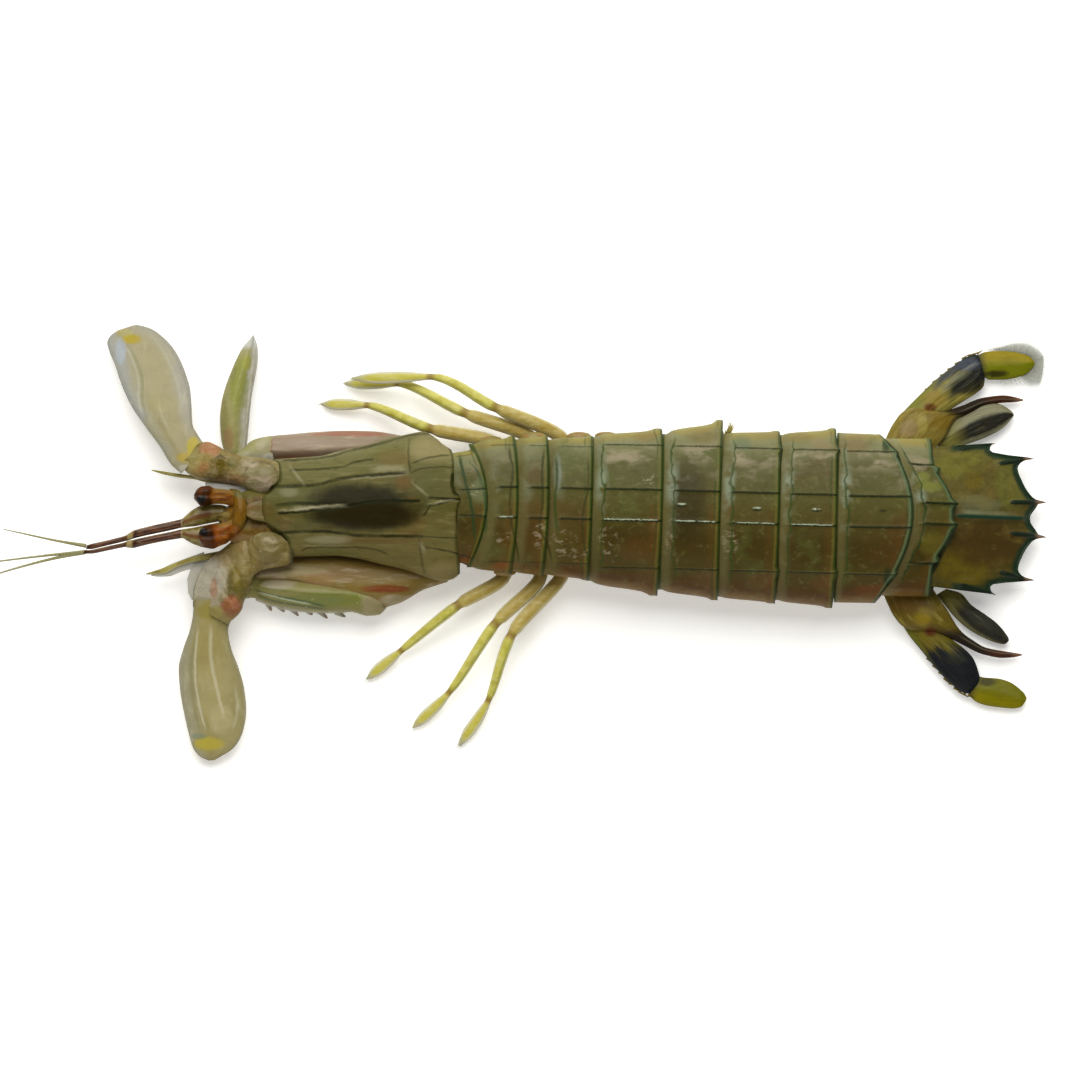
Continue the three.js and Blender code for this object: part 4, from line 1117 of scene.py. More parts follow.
FAN_TIP_LEFT = [
    (965, 691, 974, 676), (974, 702, 984, 678.5), (986, 706.5, 997, 679.5), (1000, 708.5, 1009, 683),
    (1012, 709.5, 1018, 689), (1020.5, 707.5, 1024, 695), (1025, 702, 1026, 699),
]
FAN_INNER_LEFT = [
    (936, 596, 946, 590), (944, 606, 960, 594), (953, 617, 971, 606), (966, 629, 984, 615),
    (981, 638, 996, 624), (994, 643.5, 1004, 633), (1003, 645.5, 1008, 639),
    (1007, 643.5, 1008.5, 641.5),
]

# %% [markdown]
# The base is straw yellow, darkens into a brown spine and has a rust-coloured dot where the outer blade
# is hinged to it. All parts of the fan are streaked along their length.

# %% Fan base finish
paint, x, y, seen, along, across = begin("fan base")
grain = mottle(paint, 1.5)
PINK_PATCH = (909, 430, 9, 8, 0.5, (148, 126, 92))
PALE_PATCH = (922, 425, 5, 9, 0.5, (158, 146, 72))
AMBER_PATCH = (940, 423, 12, 7, 0.8, (112, 90, 20))
RUST_DOT_RIGHT = (930, 408.5, 6, 3.8, 0.9, (88, 44, 6))
RUST_DOT_LEFT = (930, 633, 6, 4.5, 0.9, (84, 38, 6))
BROWN_ROOT_LEFT = (905, 606, 22, 9, 0.7, (92, 66, 20))
GOLD_LEFT = (922, 618, 8, 9, 0.7, (132, 112, 22))
strands = fibres(paint, 2.2, 0.28)
base = tinted(paint, y.above(-8, 4), (96, 82, 22), (124, 108, 44))
base = over(
    paint, base,
    (strands.above(0.5, 0.62) * 0.5, (86, 66, 18)),
    (strands.below(0.36, 0.46) * 0.5, (146, 132, 66)),
)
base = blots(paint, x, seen, base, grain, (
    PINK_PATCH, PALE_PATCH, AMBER_PATCH, BROWN_ROOT_LEFT, GOLD_LEFT, RUST_DOT_RIGHT, RUST_DOT_LEFT), 0.85)
base = over(
    paint, base,
    (grain.above(0.5, 0.8) * 0.4, (84, 68, 20)),
    (along.above(3.4, 5.4), (34, 26, 14)),
    (along.above(6.6, 7.8), (70, 36, 16)),
    (along.above(8.6, 10.0), (146, 104, 76)),
    ((across - 0.2).line(0.14, 0.8) * along.above(5, 6) * 0.3, (130, 126, 104)),
)
fan_base_finish = wet(paint, base, 0.44, 0.05, strands * 0.4 + fine_relief(paint), gloss=0.1)

# %% [markdown]
# The outer blade is yellow-green at its root and navy to black at its end. The dark comes in as ragged
# streaks, with a few dark and pale stripes drawn over them where the ridges of the right blade lie. The
# pale stripes are painted highlights on those ridges, and a blue-grey patch on the dark end is partly the
# blade's own colour and partly a painted sheen.

# %% Fan outer blade finish
paint, x, y, seen, along, across = begin("fan outer blade")
grain = mottle(paint, 1.5)
veins = fibres(paint, 2.6, 0.24)
outward = across * -1
right = y.above(-5, 5)
base = tinted(paint, right, (94, 86, 16), (132, 122, 54))
dark = tinted(paint, right, (18, 20, 24), (24, 30, 24))
# the blue-grey patch is partly the blade's own colour and partly a painted sheen
BLUE_GREY_SHEEN = (968, 366, 13, 6, 0.8, (72, 78, 92))
GREY_STREAK = (952, 378, 16, 4, 0.5, (80, 84, 74))
BLACK_INNER = (966, 388, 16, 8, 0.9, (20, 22, 16))
BLACK_END = (978, 374, 6, 14, 0.9, (18, 20, 16))
YELLOW_ROOT = (934, 400, 12, 8, 0.7, (132, 112, 40))
OLIVE_STREAK = (950, 388, 12, 4, 0.6, (108, 104, 68))
YELLOW_ROOT_LEFT = (928, 638, 9, 14, 0.6, (104, 90, 20))
GREEN_LEFT = (955, 660, 12, 5, 0.4, (40, 44, 20))
OLIVE_EDGE = (915, 400, 14, 10, 0.6, (110, 112, 30))
# pale stripes along the ridges of the right blade are painted highlights
ridge = (outward - 0.12).line(0.12, 0.9) * along.above(3, 4.5) * veins.above(0.35, 0.6)
base = over(
    paint, base,
    (outward.above(0.5, 0.9) * along.below(3, 5) * 0.5, (92, 100, 24)),
    (grain.above(0.5, 0.75) * 0.4, (108, 88, 20)),
    ((along + (veins - 0.5) * 4 + outward * 0.5 + (1 - right) * 1.8).above(4.4, 5.9), dark),
    (ridge * right * 0.6, (98, 108, 96)),
    (outward.above(0.86, 0.97) * 0.5 * along.above(2, 3), (64, 72, 62)),
)
base = blots(paint, x, seen, base, veins, (
    OLIVE_EDGE, YELLOW_ROOT, YELLOW_ROOT_LEFT, OLIVE_STREAK, BLACK_INNER, BLACK_END, BLUE_GREY_SHEEN,
    GREY_STREAK, GREEN_LEFT, RUST_DOT_RIGHT, RUST_DOT_LEFT), 0.8)
# stripes: line in photo pixels, half width in mm, strength, colour; the pale one is a painted highlight
FAN_STRIPES = (
    (((949, 397), (958, 389), (970, 379), (980, 372)), 1.15, 0.95, (24, 24, 16)),
    (((935, 388), (947, 376), (960, 367), (975, 360)), 0.7, 0.85, (42, 48, 60)),
    (((944, 389), (954, 380), (965, 371), (976, 365)), 0.25, 0.6, (104, 106, 92)),
    (((908, 406), (920, 394), (933, 382)), 0.35, 0.7, (72, 88, 34)),
)
ragged = (veins - 0.5) * 0.8
base = drawn(paint, x, seen + ragged, base, FAN_STRIPES, 0.9, 2.5)
fan_outer_finish = wet(paint, base, 0.4, 0.06, veins * 0.5 + fine_relief(paint), gloss=0.12)

# %% [markdown]
# The tip is a bright yellow flap, greener along its outer half, with one dark spot at its inner edge.

# %% Fan tip finish
paint, x, y, seen, along, across = begin("fan tip")
grain = mottle(paint, 1.5)
outward = across * -1 + (grain - 0.5) * 0.3
right = y.above(-5, 5)
yellow = tinted(paint, right, (116, 108, 2), (136, 120, 6))
green = tinted(paint, right, (100, 98, 8), (104, 108, 8))
base = tinted(paint, outward.above(-0.2, 0.6), green, yellow)
DARK_SPOT_RIGHT = (996, 375, 12, 3.4, 0.9, (38, 32, 6))
DARK_SPOT_LEFT = (987, 683, 9, 4, 0.8, (44, 40, 6))
base = over(
    paint, base,
    (along.below(0.3, 1.2) * 0.8, (70, 66, 36)),
    (abs(across).above(0.85, 0.98) * 0.3, (120, 104, 34)),
    (fibres(paint, 2.0, 0.4).above(0.5, 0.65) * 0.3, (84, 84, 8)),
    (along.above(5.4, 5.9) * 0.4, (150, 136, 40)),
)
base = blots(paint, x, seen, base, grain, (DARK_SPOT_RIGHT, DARK_SPOT_LEFT), 0.9)
fan_tip_finish = wet(paint, base, 0.46, 0.05, grain * 0.3 + fine_relief(paint), gloss=0.08)

# %% [markdown]
# The inner blade is a pale oval with a black streak along its middle.

# %% Fan inner blade finish
paint, x, y, seen, along, across = begin("fan inner blade")
grain = mottle(paint, 1.5)
right = y.above(-5, 5)
centre = abs(across - 0.3 * right)
pale = tinted(paint, right, (100, 96, 62), (124, 122, 94))
wide = centre - (1 - right) * (along.above(1, 4) * 0.3 + across.above(-0.2, 0.4) * 0.5)
base = tinted(paint, (wide + (grain - 0.5) * 0.2).below(0.32, 0.62), pale, (34, 33, 24))
base = over(
    paint, base,
    (along.below(0.8, 2.2) * 0.8, (122, 116, 52)),
    (centre.below(0.2, 0.4) * along.above(3.4, 5.5) * 0.8, (24, 22, 20)),
    (along.above(6.4, 7) * 0.7, (150, 146, 96)),
)
threads = fibres(paint, 2.4, 0.25)
base = over(
    paint, base,
    (threads.above(0.52, 0.66) * 0.35, (60, 58, 36)),
    (threads.below(0.34, 0.44) * 0.2, (120, 116, 84)),
)
fan_inner_finish = wet(paint, base, 0.44, 0.05, threads * 0.3 + fine_relief(paint), gloss=0.1)

# %% [markdown]
# The parts of the fan overlap like the ribs of a hand fan: the base lies highest, the outer blade next to
# it, the slim inner blade below both. Low ribs stiffen every blade.

# %% Tail fan
fan_base_height = through((0, 3.6), (2, 3.4), (4, 2.6), (10, 1.3))
fan_base_thick = through((0, 1.2), (2, 1.5), (4, 1.3), (6, 0.9), (8, 0.6), (9.4, 0.4), (10, 0.1))
fan_outer_height = through((0, 2.3), (8, 1.8))
fan_outer_thick = through((0, 0.9), (4, 0.9), (7, 0.6), (8, 0.35))
fan_tip_height = through((0, 1.6), (6, 1.3))
fan_tip_thick = through((0, 0.4), (1.5, 0.7), (4, 0.5), (5.6, 0.3), (6, 0.1))
fan_inner_height = through((0, 2.1), (7, 1.5))
fan_inner_thick = through((0, 0.6), (3, 0.8), (6, 0.5), (7, 0.12))


def base_relief(place, side):
    return 0.35 * rib(side, 0.1, 0.5) * ease(place, 1, 3)


def outer_relief(place, side):
    return 0.3 * rib(side, -0.2, 0.25) + 0.22 * rib(side, 0.35, 0.2) + 0.12 * rib(side, -0.72, 0.15)


def tip_relief(place, side):
    return 0.18 * rib(side, 0.0, 0.35) * ease(place, 0.3, 1.5)


FAN = (
    ("uropod_base", "uropod_base", fan_base_finish, FAN_BASE_RIGHT, FAN_BASE_LEFT,
     fan_base_height, fan_base_thick, base_relief),
    ("uropod_outer", "uropod_dark", fan_outer_finish, FAN_OUTER_RIGHT, FAN_OUTER_LEFT,
     fan_outer_height, fan_outer_thick, outer_relief),
    ("uropod_outer_tip", "uropod_yellow", fan_tip_finish, FAN_TIP_RIGHT, FAN_TIP_LEFT,
     fan_tip_height, fan_tip_thick, tip_relief),
    ("uropod_inner", "uropod_dark", fan_inner_finish, FAN_INNER_RIGHT, FAN_INNER_LEFT,
     fan_inner_height, fan_inner_thick, tip_relief),
)
for kind, slot, finish, right_edges, left_edges, height, thick, relief in FAN:
    for side, edges in (("right", right_edges), ("left", left_edges)):
        node = f"{kind}_{side}"
        blade_piece(node + "_skin", slot, finish, node, edges, height, thick, relief=relief)

# %% [markdown]
# The outer blade carries a row of small movable spines along its outer edge, near its end. A fringe of
# soft hairs borders the tips, longer on the right one, where the water hasn't stuck them down.

# %% Spines and fringe of the fan
SPINE_LINE_RIGHT = ((925, 391), (940, 377), (955, 365.5), (968, 357), (977, 355))
SPINE_LINE_LEFT = ((926, 659), (938, 673), (948, 684), (958, 692), (967, 696))
mesh = start_skin()
for line, way in ((SPINE_LINE_RIGHT, (0.85, 0.5, 0)), (SPINE_LINE_LEFT, (0.8, -0.55, 0))):
    hairs(mesh, edge_roots(line, 1.9, way, 1.5, 9), 4, 0.28)
finish_piece(mesh, "fan_spines", "uropod_dark", fan_base_finish)

FRINGE_RIGHT = (
    (985, 352), (1000, 351), (1015, 353), (1027, 356), (1035, 363), (1031, 372), (1018, 379), (1000, 382))
fringe_ways = through((0, 1.9), (2, 1.25), (4, 0.35), (5, -0.4), (7, -1.6))
fringe_lengths = through((0, 0.6), (2, 1.8), (3, 2.4), (4.5, 2.7), (6, 2.2), (7, 0.6))
FRINGE_HAIRS = 150
mesh = start_skin()
line = edge_roots(FRINGE_RIGHT, 1.35, (1, 0, 0), 1, FRINGE_HAIRS)
roots = []
for (place, _, _), p in zip(line, evenly(FRINGE_HAIRS, 0, len(FRINGE_RIGHT) - 1)):
    way = fringe_ways(p)
    roots.append((place, (math.cos(way), math.sin(way), 0.02), fringe_lengths(p)))
hairs(mesh, roots, 7, 0.045)
finish_piece(mesh, "fan_fringe", "uropod_yellow", bristle_finish)

# %% [markdown]
# Between its hairs the right fringe holds a film of water and slime, cloudy and streaked, which fades out
# towards its rim.

# %% Film of the fringe
FILM = [
    (986, 351, 990, 358), (1000, 347, 1004, 362), (1014, 342, 1018, 370), (1026, 341, 1022, 382),
    (1037, 346, 1030, 388), (1043, 353, 1039, 387), (1045, 362, 1043, 378),
]
paint = new_finish("wet film")
cloud = mottle(paint, 2.5)
strands = mottle(paint, 0.6, 2.0, 0.5, (4, 1, 1))
base = tinted(paint, cloud, (186, 190, 184), (170, 172, 160))
along = mark(paint, "along")
inside = abs(mark(paint, "across")).below(0.6, 1.0) * along.above(0, 1) * along.below(5.4, 6)
film_alpha = inside * (0.5 + cloud * 0.35 + strands * 0.2) + 0.03
film_finish = wet(paint, base, 0.5, 0.05, strands * 0.1, film_alpha)
mesh = start_skin()
film_thick = through((0, 0.1), (1, 0.16), (6, 0.06))
blade(mesh, FILM, evenly(31, 0, 6), through((0, 1.0), (6, 0.9)), film_thick, 24)
finish_piece(mesh, "fringe_film", "uropod_yellow", film_finish)

# %% [markdown]
# ## The carapace
#
# The carapace covers the back half of the head and the first rings. It is a thin, wide arch, narrow in
# front, widest just before its rear edge. Its front edge reaches forward in the middle and steps back on
# both sides, beside the antenna bases.

# %% Form of the carapace
CARAPACE_FRONT = -69.2
CARAPACE_REAR = -35.4
cara_right = through(
    (0, 9.9), (0.1, 10.1), (0.28, 10.3), (0.39, 11.1), (0.5, 11.7), (0.64, 12.8), (0.76, 13.6), (0.86, 14.1),
    (0.92, 12.9), (0.96, 11.6), (1, 10.6))
cara_left = through(
    (0, 8.5), (0.1, 8.6), (0.28, 8.7), (0.42, 9.45), (0.53, 10.6), (0.67, 11.9), (0.79, 13.5), (0.9, 14.4),
    (0.95, 14.1), (1, 13.0))
cara_top = through((0, 13.0), (0.25, 14.8), (0.6, 15.8), (0.85, 15.6), (1, 14.8))
cara_front_edge = through(
    (-9, 0.2), (-8, 1.3), (-6.2, 1.4), (-4.4, 0.2), (-3.2, -1.6), (-2, -3.0), (0, -3.4), (2.2, -3.4),
    (3.2, -2.0), (4.4, -0.6), (6.3, 0.0), (9.1, -0.4), (9.9, -1.6))
cara_rear_edge = through(
    (-14, 0.4), (-6, -0.3), (-0.6, -0.2), (0.4, 0.6), (1.4, -0.4), (4, -0.9), (8, -0.7), (11, -1.4))


def carapace_station(t):
    length = CARAPACE_REAR - CARAPACE_FRONT
    front_mm = length * t
    rear_mm = length * (1 - t)
    groove = 0.35 * ease(t, 0.03, 0.15) * ease(1 - t, 0.2, 0.35)

    def relief(across):
        groove_at = mix(4.4, 7.2, ease(t, 0.1, 0.6)) if across > 0 else mix(4.3, 5.2, ease(t, 0.1, 0.6))
        return groove * (0.6 * keel_relief(across, [0.0], 3.2) - keel_relief(across, [groove_at], 1.1))

    def along(across):
        edges = mix(cara_front_edge(across), cara_rear_edge(across), t)
        return CARAPACE_FRONT + front_mm + edges

    return {
        "along": along,
        "half_widths": (cara_right(t), cara_left(t)),
        "top": cara_top(t),
        "waist": mix(9.2, 8.4, t),
        "underside": 7.0,
        "squareness": 1.95,
        "relief": relief,
        "hem": 0.9 * hem_bump(rear_mm) + 0.6 * hem_bump(front_mm),
        "front_mm": front_mm,
        "rear_mm": rear_mm,
    }


print("the carapace reaches from", CARAPACE_FRONT, "to", CARAPACE_REAR, "mm along the body")

# %% [markdown]
# Grooves and fine keels run along the carapace, and wet highlights beside them. They are drawn as strokes
# in photo pixels, the grooves once for their dark colour and once for their depth. The dark stomach shows
# through the shell in the middle, and the bare shell around it is olive with rust-coloured clouds.

# %% Carapace finish
# strokes in photo pixels: line, half width in mm, strength
CARAPACE_LINES = (
    (((277, 488), (300, 487.5), (320, 486), (333, 482), (350, 479), (370, 477), (390, 475.5), (407, 474)),
     0.3, 0.85),
    (((278, 535), (300, 533.5), (320, 533), (340, 534.5), (360, 537), (400, 537.5), (424, 538)), 0.28, 0.9),
    (((277, 507), (300, 505), (320, 505.5), (347, 505)), 0.3, 0.8),
    (((279, 515), (300, 513.5), (320, 511), (350, 507.5), (370, 504), (400, 502.5), (421, 503)), 0.24, 1.0),
    (((429, 499.5), (450, 500.5), (463, 501)), 0.2, 1.0),
    (((424, 517), (428, 512), (431, 507.5), (440, 505.5), (450, 502.5), (456, 501)), 0.2, 0.9),
    (((284, 462), (300, 461), (330, 458), (350, 452), (370, 448), (395, 441), (415, 436), (433, 435)),
     0.22, 0.7),
    (((290, 559), (310, 557.5), (330, 558), (355, 561), (375, 566), (400, 572), (420, 579), (440, 583)),
     0.22, 0.75),
    (((291, 472), (310, 471), (330, 470), (345, 468), (355, 464), (374, 461)), 0.22, 0.7),
    (((303, 552), (312, 549), (345, 549), (365, 549), (380, 552), (388, 556)), 0.16, 0.6),
    (((413, 465), (430, 459), (450, 457)), 0.16, 0.6),
    (((412, 475), (420, 471), (435, 469), (454, 469)), 0.14, 0.5),
    (((425, 549), (440, 551), (462, 556)), 0.18, 0.7),
    (((424, 538), (440, 539), (463, 539)), 0.14, 0.5),
)
CARAPACE_CROSS_LINES = (
    (((411, 475), (409, 455), (410, 440)), 0.18, 0.5),
    (((425, 575), (423, 565), (421, 550), (420, 538)), 0.18, 0.5),
    (((456, 497), (453, 488), (453.5, 475)), 0.28, 1.0),
    (((462, 540), (459, 527), (458, 517), (460, 508), (463, 502)), 0.24, 0.9),
    (((464, 575), (463, 560), (464, 545)), 0.16, 0.6),
)
CARAPACE_LIGHTS = (
    (((295, 510), (320, 508.5), (345, 507)), 0.32, 0.6),
    (((281, 512), (300, 511), (322, 509)), 0.22, 0.5),
    (((432, 505.5), (440, 503.5), (452, 501.5)), 0.2, 0.8),
    (((374, 471), (385, 470), (400, 470), (407, 473)), 0.5, 0.5),
    (((350, 480.5), (372, 479), (405, 476.5)), 0.18, 0.4),
    (((303, 547), (330, 547), (350, 547)), 0.16, 0.3),
    (((292, 458.5), (330, 455.5), (352, 450)), 0.22, 0.3),
)
CARAPACE_CROSS_LIGHTS = (
    (((305, 485), (298, 477), (291, 468)), 0.3, 0.5),
    (((428, 497), (420, 490), (413, 484)), 0.3, 0.45),
    (((424, 552), (423, 548), (421, 545)), 0.4, 0.6),
)
STOMACH = (363, 508, 56, 23, 1.0, (34, 31, 8))
STOMACH_CORE = (378, 517, 38, 12, 0.7, (32, 24, 0))
SIDE_PALE = (434, 450, 23, 13, 0.65, (146, 136, 94))
SIDE_PALE_LEFT = (446, 572, 18, 9, 0.5, (130, 116, 76))
# painted highlights of the wet film
WET_SHEEN_PATCH = (330, 541, 20, 4, 0.5, (150, 144, 112))
WET_SHEEN_SPOT = (290, 493, 9, 5, 0.4, (140, 138, 108))
RUST_REAR = (410, 526, 16, 12, 0.35, (92, 62, 22))
RUST_SPOT = (404, 484, 8, 8, 0.4, (104, 66, 30))
RUST_GROOVE = (385, 541, 40, 4, 0.4, (88, 58, 24))
RUST_UPPER = (395, 460, 16, 8, 0.35, (112, 84, 44))
GREEN_FRONT = (300, 500, 26, 12, 0.4, (84, 88, 52))
YELLOW_FLANK = (300, 566, 26, 5, 0.5, (92, 78, 20))


def light_and_line(paint, x, seen, z, base, ragged):
    """The carapace's grooves in dark green and its wet highlights, and how dark each place is."""
    dark = 0.0
    for draw, lines in ((lengthwise, CARAPACE_LINES), (crosswise, CARAPACE_CROSS_LINES)):
        for line, half_width, strength in lines:
            run_x, run_seen = (x, seen + ragged) if draw is lengthwise else (x + ragged, seen)
            dark = (draw(paint, run_x, run_seen, line, half_width, 0.75) * strength).most(dark)
    light = 0.0
    for draw, lines in ((lengthwise, CARAPACE_LIGHTS), (crosswise, CARAPACE_CROSS_LIGHTS)):
        for line, half_width, strength in lines:
            light = draw(paint, x, seen + ragged * 2, line, half_width, 0.9, 2.5).most(0) * strength + light
    # low on the steep flank the grooves fade, or they would run down it as a smear
    uneven = (mottle(paint, 4.0, 3.0, 0.7).above(0.3, 0.6) * 0.5 + 0.5) * z.above(9.3, 10.6)
    base = over(paint, base, (dark * uneven, (26, 30, 4)), (light, (148, 142, 112)))
    return base, dark


def carapace_paint(name):
    paint = new_finish(name)
    x, y, z = body_place(paint)
    seen = seen_across(y, z)
    across = mark(paint, "across")
    front_mm = mark(paint, "front_mm")
    rear_mm = mark(paint, "rear_mm")
    broad = mottle(paint, 8.0, 3.0, 0.6)
    small = mottle(paint, 1.5, 4.0, 0.65)
    long_streaks = mottle(paint, 1.6, 3.0, 0.6, (5, 0.7, 1))
    stops = [
        (0.0, (108, 98, 52)), (0.1, (104, 94, 50)), (0.25, (97, 90, 50)),
        (0.5, (78, 72, 30)), (0.7, (88, 84, 44)), (0.86, (102, 98, 58)),
        (0.95, (108, 104, 66)), (1.0, (112, 106, 72)),
    ]
    wavy = (across * 0.5 + 0.5) + (broad - 0.5) * 0.06
    base = paint.node("ValToRGB", {"stops": stops}, {"Fac": wavy})
    base = over(
        paint, base,
        (broad.above(0.52, 0.75) * 0.4, (100, 70, 34)),
        (broad.below(0.3, 0.46) * 0.4, (88, 94, 52)),
        (small.above(0.52, 0.75) * 0.3, (52, 48, 16)),
        (long_streaks.above(0.5, 0.7) * 0.25, (64, 60, 24)),
        (long_streaks.below(0.3, 0.45) * 0.25, (140, 132, 88)),
    )
    base = blots(paint, x, seen, base, broad, (
        GREEN_FRONT, RUST_REAR, RUST_SPOT, RUST_GROOVE, RUST_UPPER, SIDE_PALE, SIDE_PALE_LEFT,
        YELLOW_FLANK, WET_SHEEN_PATCH, WET_SHEEN_SPOT), 0.95)
    base = blots(paint, x, seen, base, broad, (STOMACH, STOMACH_CORE), 0.55)
    ragged = (mottle(paint, 1.4, 2.0) - 0.5) * 0.35
    base, dark = light_and_line(paint, x, seen, z, base, ragged)
    rim = (front_mm - 0.25).line(0.4, 0.6).most((rear_mm - 0.25).line(0.26, 0.6) * 0.8)
    base = over(
        paint, base,
        (rim * (abs(across).above(0.3, 0.6) * 0.45 + 0.25), (50, 54, 18)),
        (abs(across).above(1.1, 1.5), (150, 134, 100)),
    )
    rough = 0.46 + small * 0.16 - long_streaks.above(0.55, 0.7) * 0.15
    relief = broad * 0.8 + long_streaks * 0.15 + mottle(paint, 0.9) * 0.05 - dark * 0.22
    return wet(paint, base, rough, 0.03, relief, gloss=0.06)


carapace_finish = carapace_paint("carapace")
cara_length = CARAPACE_REAR - CARAPACE_FRONT
carapace_rows = [place / cara_length for place in (0, 0.1, 0.25, 0.5, 0.8, 1.2)]
carapace_rows += evenly(38, 0.055, 0.955)
carapace_rows += [1 - rear / cara_length for rear in (1.2, 0.9, 0.6, 0.35, 0.15, 0.0)]
arched_plate("carapace", "carapace", carapace_finish, carapace_station, carapace_rows, (4.6, 7.5))

# %% [markdown]
# The rostral plate is a small shield that lies on the head in front of the carapace, rounded in front.

# %% Rostral plate
ROSTRAL = [
    (280, 500, 281, 527), (272, 500, 273, 525.5), (262, 501.5, 263, 523), (253, 503.5, 254, 521),
    (248, 506.5, 249, 518.5), (246, 510, 246.5, 515.5),
]


def rostral_relief(place, side):
    return 0.12 * rib(side, 0.92, 0.12) + 0.12 * rib(side, -0.92, 0.12) - 0.12 * rib(side, 0.0, 0.6)


rostral_height = through((0, 11.9), (1.5, 12.3), (3, 12.8), (5, 12.4))
rostral_thick = through((0, 0.5), (4, 0.45), (5, 0.12))
mesh = start_skin()
blade(mesh, ROSTRAL, evenly(22, 0, 5), rostral_height, rostral_thick, 28, 4, rostral_relief)
paint = new_finish("rostral plate")
across = mark(paint, "across")
along = mark(paint, "along")
grain = mottle(paint, 2.2)
base = tinted(paint, grain.above(0.35, 0.65), (98, 86, 44), (112, 84, 48))
base = over(
    paint, base,
    (along.below(1.0, 4.0) * 0.7, (86, 82, 38)),
    (abs(across).above(0.86, 0.97) * 0.6, (56, 54, 20)),
    ((across - 0.6).line(0.1, 0.9) * 0.4, (140, 132, 96)),
)
rostral_finish = wet(paint, base, 0.4, 0.15, grain * 0.15 + fine_relief(paint))
finish_piece(mesh, "rostral_shield", "rostral_plate", rostral_finish, "rostral_plate")

# %% [markdown]
# ## Head, eyes and antennules
#
# In front of the carapace stand, from the middle outwards, a soft amber head, two short-stalked eyes with
# dark glassy corneas, and two antennules. Between the eye stalks the head's skin stands up in a fold.

# %% Head
HEAD = [
    (283, 490, 283, 550), (266, 489, 266, 549), (250, 491, 250, 548), (239, 496, 238, 546),
    (230, 506, 230, 541), (222, 514, 222, 526), (218, 518, 218, 521),
]


def head_relief(place, side):
    return 0.5 * rib(side, -0.55, 0.4) + 0.5 * rib(side, 0.55, 0.4) - 0.3 * rib(side, 0.0, 0.3)


def raised(px, py, height):
    """The place at a height that the photograph shows at a pixel."""
    x, seen = photo(px, py)
    return x, seen - height * LEAN, height


head_thick = through((0, 2.2), (2, 2.0), (4, 1.6), (5, 1.2), (6, 0.4))
mesh = start_skin()
blade(mesh, HEAD, evenly(26, 0, 6), through((0, 9.3), (4, 9.5), (6, 9.4)), head_thick, relief=head_relief)
# the amber fold between the two eye stalks: pixels of the photograph and height in mm
FOLD = (
    (231, 492, 11.0), (238, 497, 11.7), (241.5, 505, 12.1), (242, 514, 12.2), (240, 523, 12.0),
    (234, 531, 11.4), (226, 535, 10.8),
)
fold_width = through((0, 0.5), (1, 1.1), (3, 1.3), (5, 1.1), (6, 0.5))
fold_thick = through((0, 0.4), (1, 0.9), (3, 1.0), (5, 0.9), (6, 0.4))
limb(mesh, [raised(*point) for point in FOLD], evenly(37, 0, 6), fold_width, fold_thick, 20)
paint, x, y, seen, along, across = begin("head")
grain = mottle(paint, 1.8)
AMBER_FRONT = (238, 512, 9, 14, 0.9, (112, 78, 10))
ORANGE_LOW = (233, 533, 9, 8, 0.8, (122, 70, 14))
OLIVE_NOSE = (222, 516, 9, 4, 0.8, (128, 112, 62))
OLIVE_NECK = (250, 494, 16, 6, 0.8, (96, 92, 46))
PINK_LOW = (246, 543, 12, 7, 0.7, (124, 98, 58))
base = tinted(paint, grain.above(0.4, 0.65), (104, 82, 30), (88, 62, 14))
base = blots(paint, x, seen, base, grain, (AMBER_FRONT, ORANGE_LOW, OLIVE_NOSE, OLIVE_NECK, PINK_LOW))
folds = mottle(paint, 1.6, 2.0, 0.5, (0.6, 2, 1))
base = tinted(paint, folds.above(0.55, 0.7) * 0.4, base, (60, 38, 6))
head_finish = wet(paint, base, 0.42, 0.06, folds * 0.4 + grain * 0.2, gloss=0.12)
finish_piece(mesh, "head_skin", "head", head_finish, "head")

# %% [markdown]
# An eye is a stalk that widens into a two-lobed cornea, with a shallow waist between the lobes. The
# cornea is dark amber glass over a black spot, with a small painted reflection beside it; the stalk is
# orange with yellow streaks, and its upper side, towards the window, is painted paler as a highlight.

# %% Eyes
EYE_RIGHT = [
    (243, 495, 243, 509), (234, 492, 233, 507.5), (225, 490.5, 224, 505.5), (216, 489.8, 215, 505.2),
    (210, 487.3, 208.5, 507.3), (204, 487.6, 202, 507), (198.5, 490.5, 198, 503.5),
    (195.3, 495.5, 195.3, 500.5),
]
EYE_LEFT = [
    (242, 518, 238, 535), (234, 520.5, 232, 541), (227, 523, 227, 545), (219.5, 525, 221.5, 547),
    (211, 526, 214, 550), (205, 527.8, 207, 549), (201.2, 531.5, 202, 544.5), (199.8, 535, 200.2, 540),
]
eye_height = through((0, 10.6), (2, 11.4), (7, 11.9))
eye_thick = through((0, 0.8), (1, 1.2), (3, 1.3), (4.2, 1.9), (5.2, 1.9), (6.3, 1.3), (7, 0.35))


